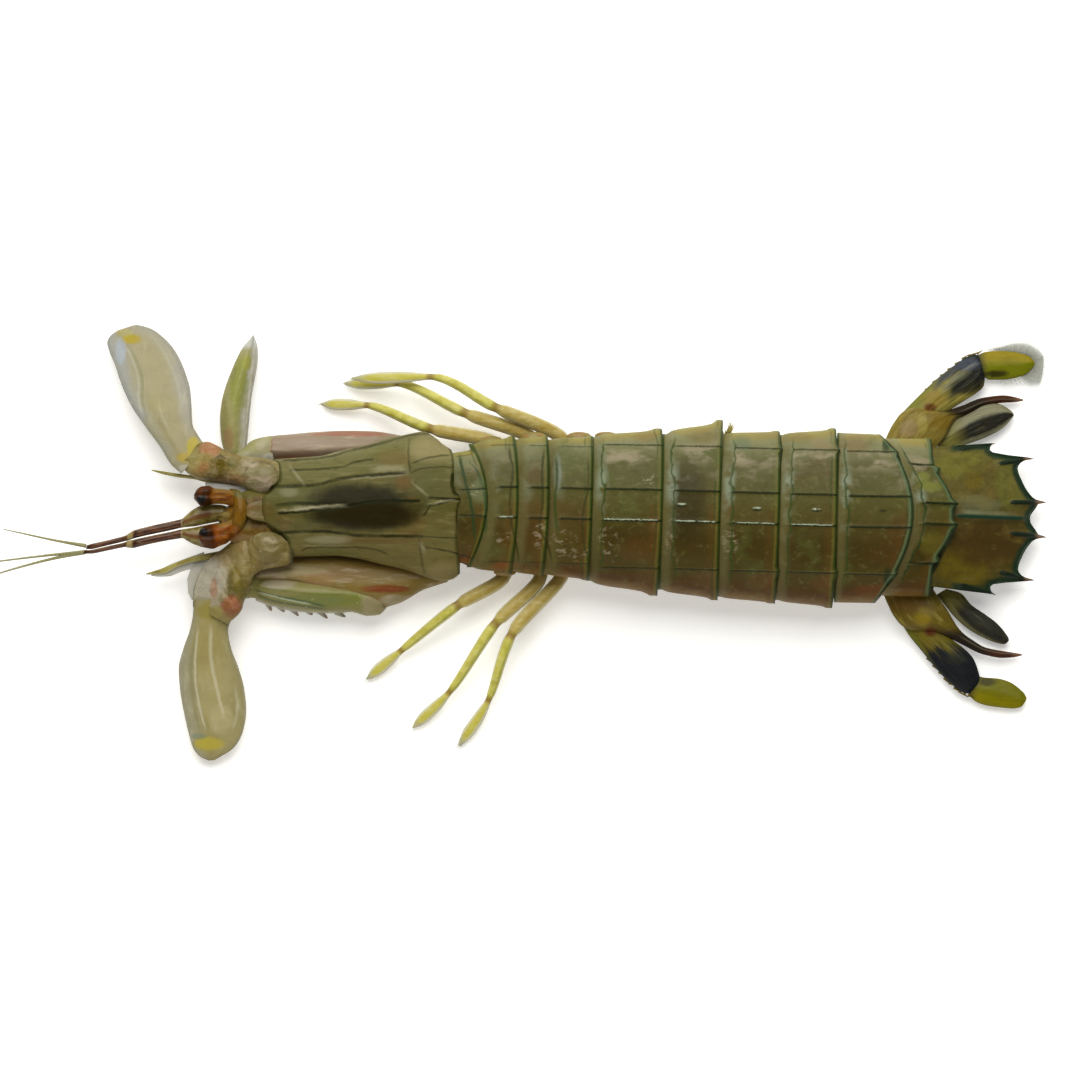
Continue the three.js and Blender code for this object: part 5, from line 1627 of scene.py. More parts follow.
def eye_paint(name, pupil, hot):
    paint, x, y, seen, along, across = begin(name)
    grain = mottle(paint, 1.6)
    streaks = mottle(paint, 0.9, 2.0, 0.5, (3, 0.8, 1))
    base = tinted(paint, grain.above(0.4, 0.65), hot, (96, 52, 6))
    base = over(
        paint, base,
        (streaks.above(0.5, 0.68) * along.below(3.0, 3.6) * 0.45, (150, 108, 34)),
        (streaks.below(0.32, 0.48) * along.below(3.0, 3.6) * 0.4, (74, 34, 4)),
        # the upper side of the stalk, towards the window, painted paler as a highlight
        (across.below(-0.75, -0.3) * along.below(2.5, 3.5) * 0.5, (136, 118, 60)),
        (along.below(0.2, 1.4) * 0.6, (104, 78, 24)),
    )
    glass = tinted(paint, grain.above(0.4, 0.7), (76, 38, 4), (46, 20, 2))
    base = tinted(paint, (along + (grain - 0.5) * 0.7).above(3.1, 3.8), base, glass)
    base = over(
        paint, base,
        (patch(x, seen, (pupil[0] + 5, pupil[1] + 4), (6, 6), 0.7) * 0.6, (30, 10, 0)),
        (patch(x, seen, pupil, (4.6, 4.2), 0.6), (5, 4, 4)),
        # a small painted reflection beside the black spot
        (patch(x, seen, (pupil[0] - 1, pupil[1] - 3), (2.4, 1.0), 0.9) * 0.2, (130, 120, 108)),
    )
    shape = streaks * 0.08 * along.below(3, 3.6)
    return wet(paint, base, 0.42, 0.05, shape, gloss=0.1, coat_rough=0.3)


eye_right_finish = eye_paint("right eye", (202.5, 500.5), (112, 66, 14))
eye_left_finish = eye_paint("left eye", (205, 533), (128, 62, 12))


def eye_relief(place, side):
    waist = rib(side, 0.05, 0.3) * ease(place, 3.2, 4)
    return 0.25 * rib(side, -0.5, 0.5) + 0.25 * rib(side, 0.5, 0.5) - 0.35 * waist


eye_form = {"per_pair": 6, "sides": 32, "relief": eye_relief}
for node, edges, finish in (
        ("eye_right", EYE_RIGHT, eye_right_finish), ("eye_left", EYE_LEFT, eye_left_finish)):
    blade_piece(node + "_skin", "eye", finish, node, edges, eye_height, eye_thick, **eye_form)

# %% [markdown]
# An antennule is a long stalk in three pieces: the first is olive and thick, the other two are brown with
# pale joints. It ends in fine whips, one on the right antennule and two on the left one.

# %% Antennules
ANTENNULE_RIGHT = [
    (238, 513, 236, 521), (222, 506, 222, 522.5), (208, 505, 208, 525), (196, 509.5, 196, 527.5),
    (187, 516.5, 187, 528.5), (183, 520, 183, 529), (170, 523, 170, 532), (150, 527.5, 150, 536.2),
    (138, 530.5, 138, 539), (134.5, 531.5, 134.5, 540), (130, 534.2, 130, 541.5),
    (127, 536.3, 127, 542.3), (110, 541, 110, 546.3), (92, 545, 92, 550.4), (88, 546.3, 87, 550.3),
]
ANTENNULE_LEFT = [
    (238, 521.5, 234, 540), (222, 523.5, 222, 545), (208, 526, 208, 549), (196, 528.5, 196, 546),
    (188, 529.8, 188, 542), (183, 530.5, 183, 539.5), (170, 533.3, 170, 541.5), (150, 537.4, 150, 545.5),
    (138, 540, 138, 548.5), (134, 541, 134, 549.4), (129, 542, 129, 549), (126, 543.4, 126, 548.4),
    (110, 547, 110, 551.6), (92, 551, 92, 555), (85, 551.6, 84.5, 555),
]
WHIP_RIGHT = [(-106.0, -7.3, 5.7), (-111.2, -6.3, 4.8), (-121.8, -3.8, 2.6)]
WHIP_LEFT = [(-106.2, -8.5, 5.5), (-111.4, -9.4, 4.6), (-120.5, -11.6, 3.0), (-131.7, -15.3, 1.2)]
WHIP_LEFT_SECOND = [(-105.8, -8.4, 5.7), (-112.5, -8.9, 4.6), (-132.1, -11.0, 1.8)]
antennule_height = through((0, 9.0), (5, 8.6), (10, 7.4), (14, 5.8))
antennule_thick = through(
    (0, 0.8), (2, 1.3), (4.4, 1.1), (4.9, 0.75), (5.3, 0.8), (8, 0.85), (8.7, 0.9), (9.2, 0.7), (10, 0.75),
    (10.8, 0.6), (11.4, 0.62), (13, 0.55), (14, 0.35))
print("pairs along each antennule:", len(ANTENNULE_RIGHT))

# %% [markdown]
# The brown of the stalks is streaked, with pale joints, and a painted highlight runs along the upper edge,
# towards the window.

# %% Antennule finishes
paint = new_finish("antennule")
along = mark(paint, "along")
across = mark(paint, "across")
up = mark(paint, "up")
grain = mottle(paint, 1.4)
streaks = mottle(paint, 0.8, 3.0, 0.6, (6, 0.8, 1))
olive = tinted(paint, grain.above(0.4, 0.6), (128, 116, 62), (104, 88, 36))
olive = tinted(paint, (across - 0.1).line(0.3, 0.7) * along.above(1, 2) * 0.8, olive, (96, 52, 22))
brown = tinted(paint, streaks.above(0.4, 0.65), (62, 30, 8), (98, 60, 26))
dark_end = along.above(7.4, 8.2) * along.below(8.6, 9.0)
brown = tinted(paint, dark_end.most(along.above(12.6, 13.6)) * 0.8, brown, (40, 16, 2))
joint = (along - 9.9).line(0.75, 0.4)
base = tinted(paint, (along + (grain - 0.5) * 0.3).above(4.7, 5.0), olive, brown)
# a painted highlight along the upper edge, towards the window
edge_light = (across + 0.75).line(0.1, 0.8) * along.above(5.2, 6) * streaks.above(0.35, 0.5)
base = over(
    paint, base,
    (joint, (140, 124, 78)),
    ((along - 5.0).line(0.12, 0.7) * 0.6, (150, 136, 92)),
    (edge_light * 0.4, (176, 160, 124)),
    (up.below(-0.6, -0.1) * 0.3, (120, 100, 60)),
)
antennule_finish = wet(paint, base, 0.34, 0.2, streaks * 0.12 + fine_relief(paint))

paint = new_finish("whip")
along = mark(paint, "along")
rings_along = paint.math("SINE", along * 70.0)
grain = mottle(paint, 3.0, 2.0)
base = tinted(paint, grain.above(0.3, 0.6), (150, 146, 104), (138, 134, 90))
base = tinted(paint, rings_along.above(0.2, 0.9) * 0.4, base, (104, 96, 52))
base = tinted(paint, along.above(1.2, 2.6) * 0.6, base, (168, 170, 150))
whip_finish = wet(paint, base, 0.4, 0.1, rings_along * 0.02)

for node, edges, whip_paths in (
        ("antennule_right", ANTENNULE_RIGHT, (WHIP_RIGHT,)),
        ("antennule_left", ANTENNULE_LEFT, (WHIP_LEFT, WHIP_LEFT_SECOND))):
    blade_piece(
        node + "_stalk", "antennule", antennule_finish, node, edges, antennule_height, antennule_thick,
        per_pair=7, sides=20)
    mesh = start_skin()
    for path in whip_paths:
        last = len(path) - 1
        size = through((0, 0.42), (last / 3, 0.3), (last, 0.1))
        limb(mesh, path, evenly(90, 0, last), size, size, 8)
    finish_piece(mesh, node + "_whips", "feeler", whip_finish)

# %% [markdown]
# ## The antennae
#
# Each antenna has a thick base with a round, glassy joint half hidden by the carapace, a few short
# segments, a pointed feeler and the large paddle that the animal steers with. The base is soft, so its
# segments are swellings of one skin.

# %% Antenna bases
BASE_RIGHT = [
    (290, 466, 290, 496), (276, 462, 276, 499), (262, 459, 262, 498), (249, 458, 249, 492),
    (238, 456, 238, 486), (228, 453, 227, 484), (218, 447, 216, 482.5), (208, 443, 204, 481),
    (199, 445, 196, 479), (192, 452, 189, 475), (186, 458, 184, 470),
]
BASE_LEFT = [
    (294, 530, 294, 565), (280, 526, 280, 568), (264, 526, 264, 571), (250, 529, 254, 578),
    (238, 538, 251, 588), (226, 548, 248, 596), (214, 557, 245, 603), (204, 568, 243, 610),
    (197, 582, 238, 617), (194, 596, 232, 622), (194, 608, 229, 625),
]
base_height = through((0, 9.6), (3, 9.3), (6, 8.6), (10, 7.8))
base_thick = through(
    (0, 1.6), (1, 2.4), (2, 2.7), (3.6, 2.0), (4.4, 2.3), (5.4, 2.0), (6.4, 2.2), (8, 1.5), (10, 0.7))


def dome(place, side, middle, length, half_width):
    """A round lump at middle, a place along and a place across, from 0 to 1."""
    away = ((place - middle[0]) / length) ** 2 + ((side - middle[1]) / half_width) ** 2
    return max(0.0, 1 - away) ** 0.5


def base_lumps(place, side):
    bulb = 0.7 * dome(place, side, (1.6, 0.05), 0.95, 0.7)
    crease = 0.35 * rib(place, 3.3, 0.3) + 0.3 * rib(place, 5.0, 0.25) + 0.3 * rib(place, 7.2, 0.3)
    return bulb - crease + 0.3 * rib(side, -0.35, 0.35) * ease(place, 3.4, 4.2)


def left_base_lumps(place, side):
    skin_side = 1.3 * ease(place, 3.4, 5.0) * ease(-side, -0.2, 0.4)
    pleat = 0.7 * dome(place, side, (5.7, 0.5), 0.9, 0.4)
    lobe = 0.6 * dome(place, side, (7.6, 0.65), 0.9, 0.35)
    return base_lumps(place, side) - skin_side + pleat + lobe


print("pairs along each antenna base:", len(BASE_RIGHT))

# %% [markdown]
# The base is painted in soft patches. Its round joints have a thin dark outline and crooked highlights.

# %% Antenna base finish
paint, x, y, seen, along, across = begin("antenna base")
grain = mottle(paint, 2.0, 4.0)
fine = mottle(paint, 0.8)
right = y.above(-5, 5)
base = tinted(paint, grain.above(0.35, 0.65), (132, 118, 72), (116, 98, 46))
BASE_PATCHES = (
    (262, 480, 17, 17, 0.8, (120, 114, 80)), (268, 545, 18, 19, 0.8, (104, 94, 52)),
    (266, 484, 9, 8, 0.4, (142, 124, 104)), (266, 541, 12, 11, 0.4, (116, 106, 68)),
    (246, 545, 12, 7, 0.5, (128, 106, 62)), (222, 560, 10, 7, 0.5, (138, 120, 86)),
    (249, 468, 10, 8, 0.6, (142, 134, 104)), (234, 481, 14, 5, 0.7, (128, 98, 62)),
    (211, 450, 10, 8, 0.8, (158, 106, 70)), (202, 468, 8, 8, 0.7, (154, 112, 66)),
    (206, 459, 7, 5, 0.6, (150, 136, 76)), (195, 462, 7, 9, 0.7, (150, 140, 84)),
    (222, 467, 5, 10, 1.0, (92, 76, 0)), (232, 464, 6, 6, 0.7, (104, 100, 58)),
    (206, 582, 22, 26, 0.95, (158, 152, 134)), (240, 556, 20, 11, 0.6, (124, 108, 66)),
    (233, 585, 5, 14, 0.8, (78, 68, 8)), (243, 589, 8, 12, 0.8, (92, 82, 20)),
    (238, 578, 4, 8, 0.7, (120, 104, 40)), (233, 607, 10, 10, 0.8, (134, 74, 42)),
    (236, 605, 4, 6, 0.7, (158, 104, 74)), (215, 590, 4, 10, 0.7, (140, 100, 72)),
    (213, 615, 11, 8, 0.8, (130, 120, 62)),
)
base = blots(paint, x, seen, base, grain, BASE_PATCHES, 0.75)
# the joints' dark outlines: middle and radius in photo pixels, colour
BULB_RINGS = (((262, 480), 17, (64, 56, 20)), ((268, 546), 19, (66, 60, 22)), ((266, 541), 12, (84, 76, 38)))
for middle, radius, shade in BULB_RINGS:
    cx, cy = photo(*middle)
    away = ((x - cx) ** 2 + (seen - cy) ** 2) ** 0.5 + (grain - 0.5) * 0.5
    base = tinted(paint, (away - radius * PIXEL).line(0.2, 0.9) * 0.4, base, shade)
# highlights and creases: line in photo pixels, half width in mm, strength, colour
BULB_LIGHTS = (
    (((249, 482), (254, 479), (260, 480), (266, 482), (271, 479)), 0.35, 0.55, (170, 152, 132)),
    (((256, 487), (262, 490.5), (267, 489), (272, 485)), 0.4, 0.5, (168, 150, 128)),
    (((246, 464), (252, 467), (258, 465)), 0.35, 0.6, (176, 160, 140)),
    (((262, 541), (268, 540), (274, 543), (280, 541)), 0.4, 0.55, (158, 144, 112)),
    (((266, 549), (273, 551), (281, 547)), 0.35, 0.45, (154, 142, 108)),
    (((215, 463), (219, 458), (226, 460)), 0.18, 0.8, (40, 40, 8)),
    (((216, 476), (222, 478), (228, 474)), 0.2, 0.6, (64, 52, 8)),
)
ragged = (fine - 0.5) * 0.9
base = drawn(paint, x, seen + ragged, base, BULB_LIGHTS, 0.9, 2.0)
streaks = mottle(paint, 1.3, 3.0, 0.6, (2, 1, 1)).above(0.56, 0.66)
base = over(
    paint, base,
    (streaks * 0.3, (166, 150, 116)),
    (fine.above(0.58, 0.7) * 0.2, (60, 50, 16)),
    (along.line(0.3, 0.8), (60, 56, 24)),
)
antenna_base_finish = wet(paint, base, 0.42, 0.1, grain * 0.7 + fine * 0.15)

for node, edges, lumps in (
        ("antenna_base_right", BASE_RIGHT, base_lumps), ("antenna_base_left", BASE_LEFT, left_base_lumps)):
    blade_piece(
        node + "_skin", "flesh", antenna_base_finish, node, edges, base_height, base_thick,
        per_pair=6, sides=36, relief=lumps)

# %% [markdown]
# A feeler is a slim pointed rod, yellow-green with a lighter edge.

# %% Feelers
FEELER_RIGHT = [
    (246, 476, 246, 489), (228, 476.5, 228, 486), (210, 477.5, 210, 484.5), (195, 476.8, 195, 480.8),
    (180, 475, 180, 479), (165, 472.8, 165, 476), (152, 470.8, 152, 472),
]
FEELER_LEFT = [
    (250, 548, 250, 562), (232, 550, 232, 560), (213, 553.5, 213, 561), (196, 557, 196, 563),
    (180, 562.5, 180, 567.5), (164, 569, 164, 575), (147, 574.6, 147, 575.8),
]
paint = new_finish("feeler")
along = mark(paint, "along")
across = mark(paint, "across")
grain = mottle(paint, 2.0)
base = tinted(paint, grain.above(0.35, 0.6), (150, 142, 74), (124, 112, 44))
base = over(
    paint, base,
    ((across - 0.5).above(-0.3, 0.2) * along.above(2.5, 3.5) * 0.5, (176, 172, 130)),
    (along.below(0.5, 2.4) * 0.7, (118, 98, 44)),
)
feeler_finish = wet(paint, base, 0.4, 0.15, grain * 0.12)
feeler_height = through((0, 8.2), (3, 6.8), (6, 5.0))
feeler_thick = through((0, 1.1), (2, 0.6), (4, 0.4), (6, 0.1))
for node, edges in (("antenna_feeler_right", FEELER_RIGHT), ("antenna_feeler_left", FEELER_LEFT)):
    blade_piece(node + "_skin", "feeler", feeler_finish, node, edges, feeler_height, feeler_thick, sides=16)

# %% [markdown]
# Thin greyish folds of skin lie beside the head and the left feeler. They are milky, and the table shows
# a little through them.

# %% Skin folds beside the head
HEAD_FILM = [
    (206, 484, 206, 488), (218, 483, 218, 492), (232, 484, 232, 495), (246, 487, 246, 498),
    (252, 490, 252, 497),
]
LEFT_FILM = [
    (228, 553, 228, 600), (212, 556, 212, 603), (200, 560, 201, 603), (192, 569, 193, 601),
    (188, 580, 189, 594),
]
FEELER_FILM = [
    (205, 553, 205, 568), (185, 560, 185, 572), (170, 566, 170, 577.5), (160, 571, 160, 578),
    (152, 574, 152, 577),
]
paint = new_finish("head skin folds")
cloud = mottle(paint, 3.0)
x, y, z = body_place(paint)
base = tinted(paint, y.above(-4, 2), (172, 170, 158), (184, 182, 178))
base = tinted(paint, cloud.above(0.45, 0.65) * 0.3, base, (162, 156, 132))
fold_finish = wet(paint, base, 0.5, 0.05, cloud * 0.3, 0.6 + cloud * 0.2)
FOLDS = (
    (HEAD_FILM, through((0, 7.6), (4, 8.4)), through((0, 0.1), (1, 0.2), (4, 0.1)), 20),
    (LEFT_FILM, through((0, 6.8), (4, 5.6)), through((0, 0.2), (4, 0.1)), 24),
    (FEELER_FILM, through((0, 6.0), (4, 4.9)), through((0, 0.15), (4, 0.08)), 20),
)
mesh = start_skin()
for edges, height, thick, sides in FOLDS:
    blade(mesh, edges, evenly(25, 0, 4), height, thick, sides)
finish_piece(mesh, "head_skin_folds", "flesh", fold_finish)

# %% [markdown]
# A steering paddle is milky and thin, thickened along one rib, with a pale rim where only the skin is
# left. Near the right one's end lies a yellow spot beside a bluish film; the left one has the same spot
# at its lower end.

# %% Paddles
SCALE_RIGHT = [
    (182, 475, 207, 448), (172, 466, 199, 437), (160, 447, 193, 425), (145, 427, 192, 408),
    (131, 406, 190.5, 391), (121, 384, 185.5, 374), (115, 366, 177, 355), (109.5, 353, 165, 340),
    (107, 344, 150, 329.5), (110, 337, 136, 326), (117, 331.5, 126, 328.5),
]
SCALE_LEFT = [
    (195, 601, 242, 600), (194, 615, 235, 616), (190.5, 632, 229, 631), (184, 650, 232, 649),
    (179.5, 670, 239, 668), (181, 691, 245, 690), (184.5, 712, 247, 711), (189, 732, 244, 731),
    (194, 749, 235, 748), (201, 757.5, 223, 756.5), (209, 761.3, 215, 761),
]
scale_height_right = through((0, 8.2), (2, 7.0), (6, 4.2), (10, 1.9))
scale_height_left = through((0, 8.0), (2, 6.4), (6, 3.4), (10, 1.9))
scale_thick = through((0, 0.9), (2, 0.75), (7, 0.5), (9, 0.35), (10, 0.1))


def scale_relief(place, side):
    main_rib = 0.2 * rib(side, -0.28, 0.2) * ease(place, 0.6, 2) * ease(9 - place, 0, 2)
    return main_rib + 0.06 * rib(side, 0.45, 0.3)


def scale_paint(name, body, patches, lines, rim_first, rim_last):
    paint, x, y, seen, along, across = begin(name)
    grain = mottle(paint, 3.5)
    fine = mottle(paint, 1.0)
    veins = mottle(paint, 2.0, 3.0, 0.6, (1, 3, 1))
    base = tinted(paint, grain.above(0.35, 0.65), body, [part - 9 for part in body])
    base = over(
        paint, base,
        (across.above(0.3, 0.9) * 0.7, rim_last),
        (across.below(-0.85, -0.25) * 0.8, rim_first),
        (veins.above(0.54, 0.7) * 0.25, (196, 190, 164)),
        (fine.above(0.6, 0.75) * 0.2, (130, 124, 86)),
        (along.below(0.6, 3.0) * 0.6, (138, 128, 78)),
    )
    base = blots(paint, x, seen, base, grain, patches)
    base = drawn(paint, x + (fine - 0.5) * 0.4, seen, base, lines, 0.9, 3.0, crosswise)
    rim = abs(across).above(0.8, 1.0)
    alpha = 1 - rim * 0.3
    return wet(paint, base, 0.45, 0.1, veins * 0.15 + fine * 0.05 + grain * 0.3, alpha, gloss=0.15)


# patches: middle and radii in photo pixels, share, colour
RIGHT_PADDLE_PATCHES = (
    (131, 340.5, 10, 5, 1.0, (156, 138, 12)), (124, 334, 8, 4, 0.5, (158, 150, 70)),
    (152, 375, 22, 40, 0.5, (152, 144, 100)),
    (121, 352, 5, 13, 0.7, (154, 164, 174)), (194, 448, 6, 9, 0.9, (164, 148, 40)),
    (185, 459, 7, 5, 0.8, (162, 142, 52)), (205, 452, 5, 8, 0.6, (160, 112, 74)),
    (163, 420, 18, 26, 0.5, (146, 138, 92)),
    (186, 470, 8, 4, 0.7, (168, 164, 152)),
)
# strokes: line in photo pixels, half width in mm, strength, colour
RIGHT_PADDLE_LINES = (
    (((128, 348), (137, 362), (143, 382), (143, 400), (146, 415)), 0.25, 0.6, (124, 124, 92)),
    (((125, 346), (133, 362), (139, 382), (139, 400), (143, 416)), 0.22, 0.4, (176, 176, 164)),
    (((170, 432), (164, 420), (160, 408)), 0.2, 0.2, (186, 182, 160)),
    (((150, 335), (170, 365), (180, 395), (181, 415)), 0.3, 0.3, (166, 164, 150)),
)
LEFT_PADDLE_PATCHES = (
    (209, 744, 14, 7, 1.0, (164, 150, 60)), (210, 650, 16, 34, 0.6, (150, 138, 86)),
    (200, 737, 8, 3, 0.6, (108, 122, 100)), (215, 690, 18, 30, 0.5, (160, 150, 104)),
    (212, 612, 14, 8, 0.7, (134, 122, 50)), (230, 608, 8, 6, 0.7, (140, 100, 60)),
    (222, 720, 12, 16, 0.5, (170, 160, 120)),
)
LEFT_PADDLE_LINES = (
    (((196, 640), (192, 670), (194, 700), (201, 732)), 0.3, 0.6, (128, 122, 84)),
    (((212, 630), (212, 660), (218, 690), (224, 715)), 0.3, 0.5, (196, 190, 164)),
    (((199, 632), (196, 670), (199, 700), (206, 728)), 0.2, 0.5, (198, 194, 170)),
    (((236, 690), (238, 710), (234, 728)), 0.25, 0.4, (180, 176, 150)),
)
scale_right_finish = scale_paint(
    "right paddle", (152, 144, 116), RIGHT_PADDLE_PATCHES, RIGHT_PADDLE_LINES,
    (146, 148, 144), (148, 146, 136))
scale_left_finish = scale_paint(
    "left paddle", (148, 138, 92), LEFT_PADDLE_PATCHES, LEFT_PADDLE_LINES,
    (146, 142, 118), (144, 136, 96))
SCALES = (
    ("antennal_scale_right", SCALE_RIGHT, scale_height_right, scale_right_finish),
    ("antennal_scale_left", SCALE_LEFT, scale_height_left, scale_left_finish),
)
for node, edges, height, finish in SCALES:
    blade_piece(
        node + "_skin", "scale", finish, node, edges, height, scale_thick, 7, sides=48, relief=scale_relief)

# %% [markdown]
# ## The claws
#
# The hunting claw folds like a pocket knife: a long arm, a short wrist, a hand with a groove, and a thin
# blade with long teeth that closes into the groove. The right claw has swung out in front, its arm lying
# under the rim of the carapace. The left claw is shut, alongside it.

# %% Claw outlines
ARM_RIGHT = [
    (415, 440, 415, 462), (392, 435, 392, 462), (372, 432.5, 372, 462), (345, 432, 345, 462),
    (315, 433.3, 315, 463), (290, 435.5, 290, 463), (274, 437, 274, 462), (266, 441, 267, 458),
    (262, 445, 263, 453),
]
WRIST_RIGHT = [
    (272, 437, 274, 464), (262, 438.5, 264, 466), (252, 442, 254, 468), (244, 449, 246, 468),
    (237, 454, 239, 466), (232, 458, 234, 463),
]
HAND_RIGHT = [
    (231, 463, 240, 461), (224.5, 453, 246, 452), (221, 438, 248, 438), (220, 420, 249.5, 420),
    (221.5, 404, 251, 404), (225.5, 388, 253.5, 388), (231.5, 372, 256.5, 372), (237, 359, 258, 358),
    (243, 348, 257.5, 348), (249, 341, 255.3, 341), (252.5, 336.5, 253.8, 336.5),
]
BLADE_RIGHT = [
    (240, 452, 246, 450), (242.5, 436, 248, 436), (245, 415, 250, 415), (247, 392, 252.5, 392),
    (249, 370, 255, 370), (251.5, 354, 256, 354), (252.5, 344, 253.5, 344),
]
ARM_LEFT = [
    (448, 566, 448, 583), (420, 563, 424, 591), (392, 560, 398, 605), (362, 556, 368, 611),
    (328, 554, 331, 602), (297, 557, 294, 590), (271, 562, 265, 584), (256, 568, 250, 586),
    (247, 573, 245, 583),
]
WRIST_LEFT = [
    (262, 569, 260, 600), (252, 568, 252, 599), (241, 569, 243, 600), (232, 572, 233, 599),
    (226, 578, 227, 594), (224, 583, 224.5, 589),
]
HAND_LEFT = [
    (251, 581, 252, 596), (262, 579, 262, 602), (280, 578, 280, 607.5), (305, 580, 304, 611.5),
    (330, 582, 329, 613), (350, 584, 350, 613), (366, 588, 368, 617), (378, 594, 379, 616),
    (386, 600, 387, 609),
]
BLADE_LEFT = [
    (256, 597, 256, 602), (272, 600, 271, 607), (292, 605, 291, 612), (315, 608, 314, 614),
    (335, 609.5, 335, 614.5), (352, 610, 352, 613),
]
arm_height = through((0, 3.6), (8, 3.5))
arm_height_left = through((0, 4.2), (2, 4.6), (8, 4.2))
arm_thick_left = through((0, 1.6), (1, 2.9), (3, 3.3), (6, 2.6), (7.4, 1.7), (8, 0.5))
arm_thick = through((0, 1.6), (1, 2.6), (3, 3.0), (6, 2.6), (7.4, 1.7), (8, 0.5))
wrist_thick = through((0, 1.2), (1, 2.2), (3, 2.3), (4.3, 1.5), (5, 0.4))
hand_thick = through((0, 0.8), (1, 1.7), (3, 2.1), (6, 1.8), (8, 1.1), (9.4, 0.5), (10, 0.12))
hand_thick_left = through((0, 0.8), (1, 1.9), (3, 2.9), (6, 2.6), (7.2, 1.7), (8, 0.5))
blade_thick_right = through((0, 0.9), (2, 1.0), (5, 0.7), (6, 0.15))
blade_thick_left = through((0, 0.6), (1, 0.9), (4, 0.8), (5, 0.2))
wrist_height = through((0, 4.6), (5, 4.0))
wrist_height_left = through((0, 5.0), (5, 5.0))
hand_height = through((0, 3.6), (10, 2.9))
hand_height_left = through((0, 4.6), (4, 4.9), (8, 4.6))
blade_height_right = through((0, 4.2), (6, 3.3))
blade_height_left = through((0, 3.6), (5, 3.2))
print("pairs along each hand:", len(HAND_RIGHT), len(HAND_LEFT))

# %% [markdown]
# The arm is pinkish and milky, with brick-red rims. Pale patches along the upper border of the left arm are
# painted light, which lifts the shade that the body casts there.

# %% Claw arm finish
paint = new_finish("claw arm")
x, y, z = body_place(paint)
seen = seen_across(y, z)
grain = mottle(paint, 3.0)
streaks = mottle(paint, 1.6, 3.0, 0.6, (4, 0.8, 1))
right = y.above(-5, 5)
base = tinted(paint, right, (118, 98, 46), (142, 124, 104))
# colour patches; the three pale ones along the upper border of the left arm are painted light
ARM_PATCHES_AND_LIGHT = (
    (352, 435, 38, 3, 0.9, (146, 100, 80)), (300, 460, 28, 4, 0.8, (142, 98, 72)),
    (269, 446, 4, 9, 0.8, (138, 98, 80)), (310, 444, 26, 5, 0.5, (150, 134, 118)),
    (395, 445, 22, 8, 0.6, (122, 108, 70)), (276, 574, 22, 6, 0.8, (154, 138, 112)),
    (295, 575, 18, 4, 0.6, (150, 136, 96)), (318, 580, 22, 8, 0.7, (138, 110, 68)),
    (350, 574, 24, 8, 0.7, (116, 88, 38)), (386, 590, 22, 4, 1.0, (112, 58, 22)),
    (385, 576, 30, 6, 0.6, (120, 98, 44)), (300, 566, 30, 4, 0.6, (112, 98, 36)),
    (398, 602, 18, 6, 0.9, (142, 130, 98)), (300, 572, 26, 4, 0.6, (140, 128, 88)),
    (250, 590, 10, 8, 0.6, (108, 96, 40)),
)
base = blots(paint, x, seen, base, grain, ARM_PATCHES_AND_LIGHT)
base = over(
    paint, base,
    (streaks.above(0.52, 0.7) * 0.35, (186, 172, 150)),
    (streaks.below(0.3, 0.45) * 0.3, (128, 96, 66)),
    (grain.above(0.55, 0.7) * 0.2, (120, 116, 70)),
)
arm_finish = wet(paint, base, 0.44, 0.08, streaks * 0.2 + fine_relief(paint), gloss=0.14)

print("finish:", arm_finish.name)

# %% [markdown]
# The hand is pale green with a clear rim along its groove, and teal lines run along the shut one. A pale
# pinkish patch near the shut hand's root is a painted highlight.

# %% Claw hand finish
paint, x, y, seen, along, across = begin("claw hand")
grain = mottle(paint, 2.4)
fine = mottle(paint, 0.8)
right = y.above(-5, 5)
base = tinted(paint, right, (122, 116, 66), (146, 142, 94))
rim = (across + (fine - 0.5) * 0.3).above(0.15, 0.5)
# colour patches; the pale pinkish one near the root of the shut hand is a painted highlight
HAND_PATCHES_AND_HIGHLIGHT = (
    (239, 388, 9, 28, 0.8, (132, 136, 62)), (247, 364, 5, 8, 0.8, (146, 146, 62)),
    (236, 430, 7, 24, 0.6, (140, 136, 80)), (224, 425, 4, 26, 0.6, (122, 116, 62)),
    (229, 440, 5, 12, 0.7, (146, 116, 80)), (233, 370, 3, 14, 0.5, (124, 118, 76)),
    (330, 600, 46, 7, 0.8, (104, 112, 48)), (358, 603, 15, 6, 0.7, (108, 112, 36)),
    (378, 606, 16, 13, 1.0, (138, 128, 92)), (280, 586, 16, 5, 0.8, (152, 142, 122)),
    (310, 590, 26, 4, 0.5, (128, 124, 80)), (240, 586, 12, 12, 0.9, (96, 84, 20)),
    (234, 578, 6, 5, 0.8, (70, 66, 14)), (250, 458, 12, 6, 0.6, (156, 150, 126)),
    (264, 446, 8, 8, 0.7, (164, 156, 128)), (230, 584, 4, 8, 0.6, (132, 120, 40)),
)
base = tinted(paint, rim * right * 0.9, base, (184, 182, 168))
base = tinted(paint, along.above(7.4, 8.2) * right * 0.95, base, (184, 184, 176))
base = blots(paint, x, seen, base, grain, HAND_PATCHES_AND_HIGHLIGHT)
TEAL_LINES = (
    (((256, 591), (275, 597), (300, 601.5), (325, 607)), 0.22, 0.8, (56, 76, 50)),
    (((258, 596), (275, 602), (300, 606.5), (325, 610)), 0.2, 0.7, (60, 80, 60)),
    (((256, 588), (285, 592), (310, 595), (340, 596)), 0.2, 0.4, (90, 100, 52)),
    (((262, 594), (285, 600), (310, 605)), 0.16, 0.6, (176, 182, 158)),
)
ragged = (fine - 0.5) * 0.3
base = drawn(paint, x, seen + ragged, base, TEAL_LINES, 0.8, 2.0)
outer_edge = across.below(-0.9, -0.72) * along.above(4, 5) * along.below(7, 8)
combs = mottle(paint, 0.35, 1.0).above(0.5, 0.6) * outer_edge
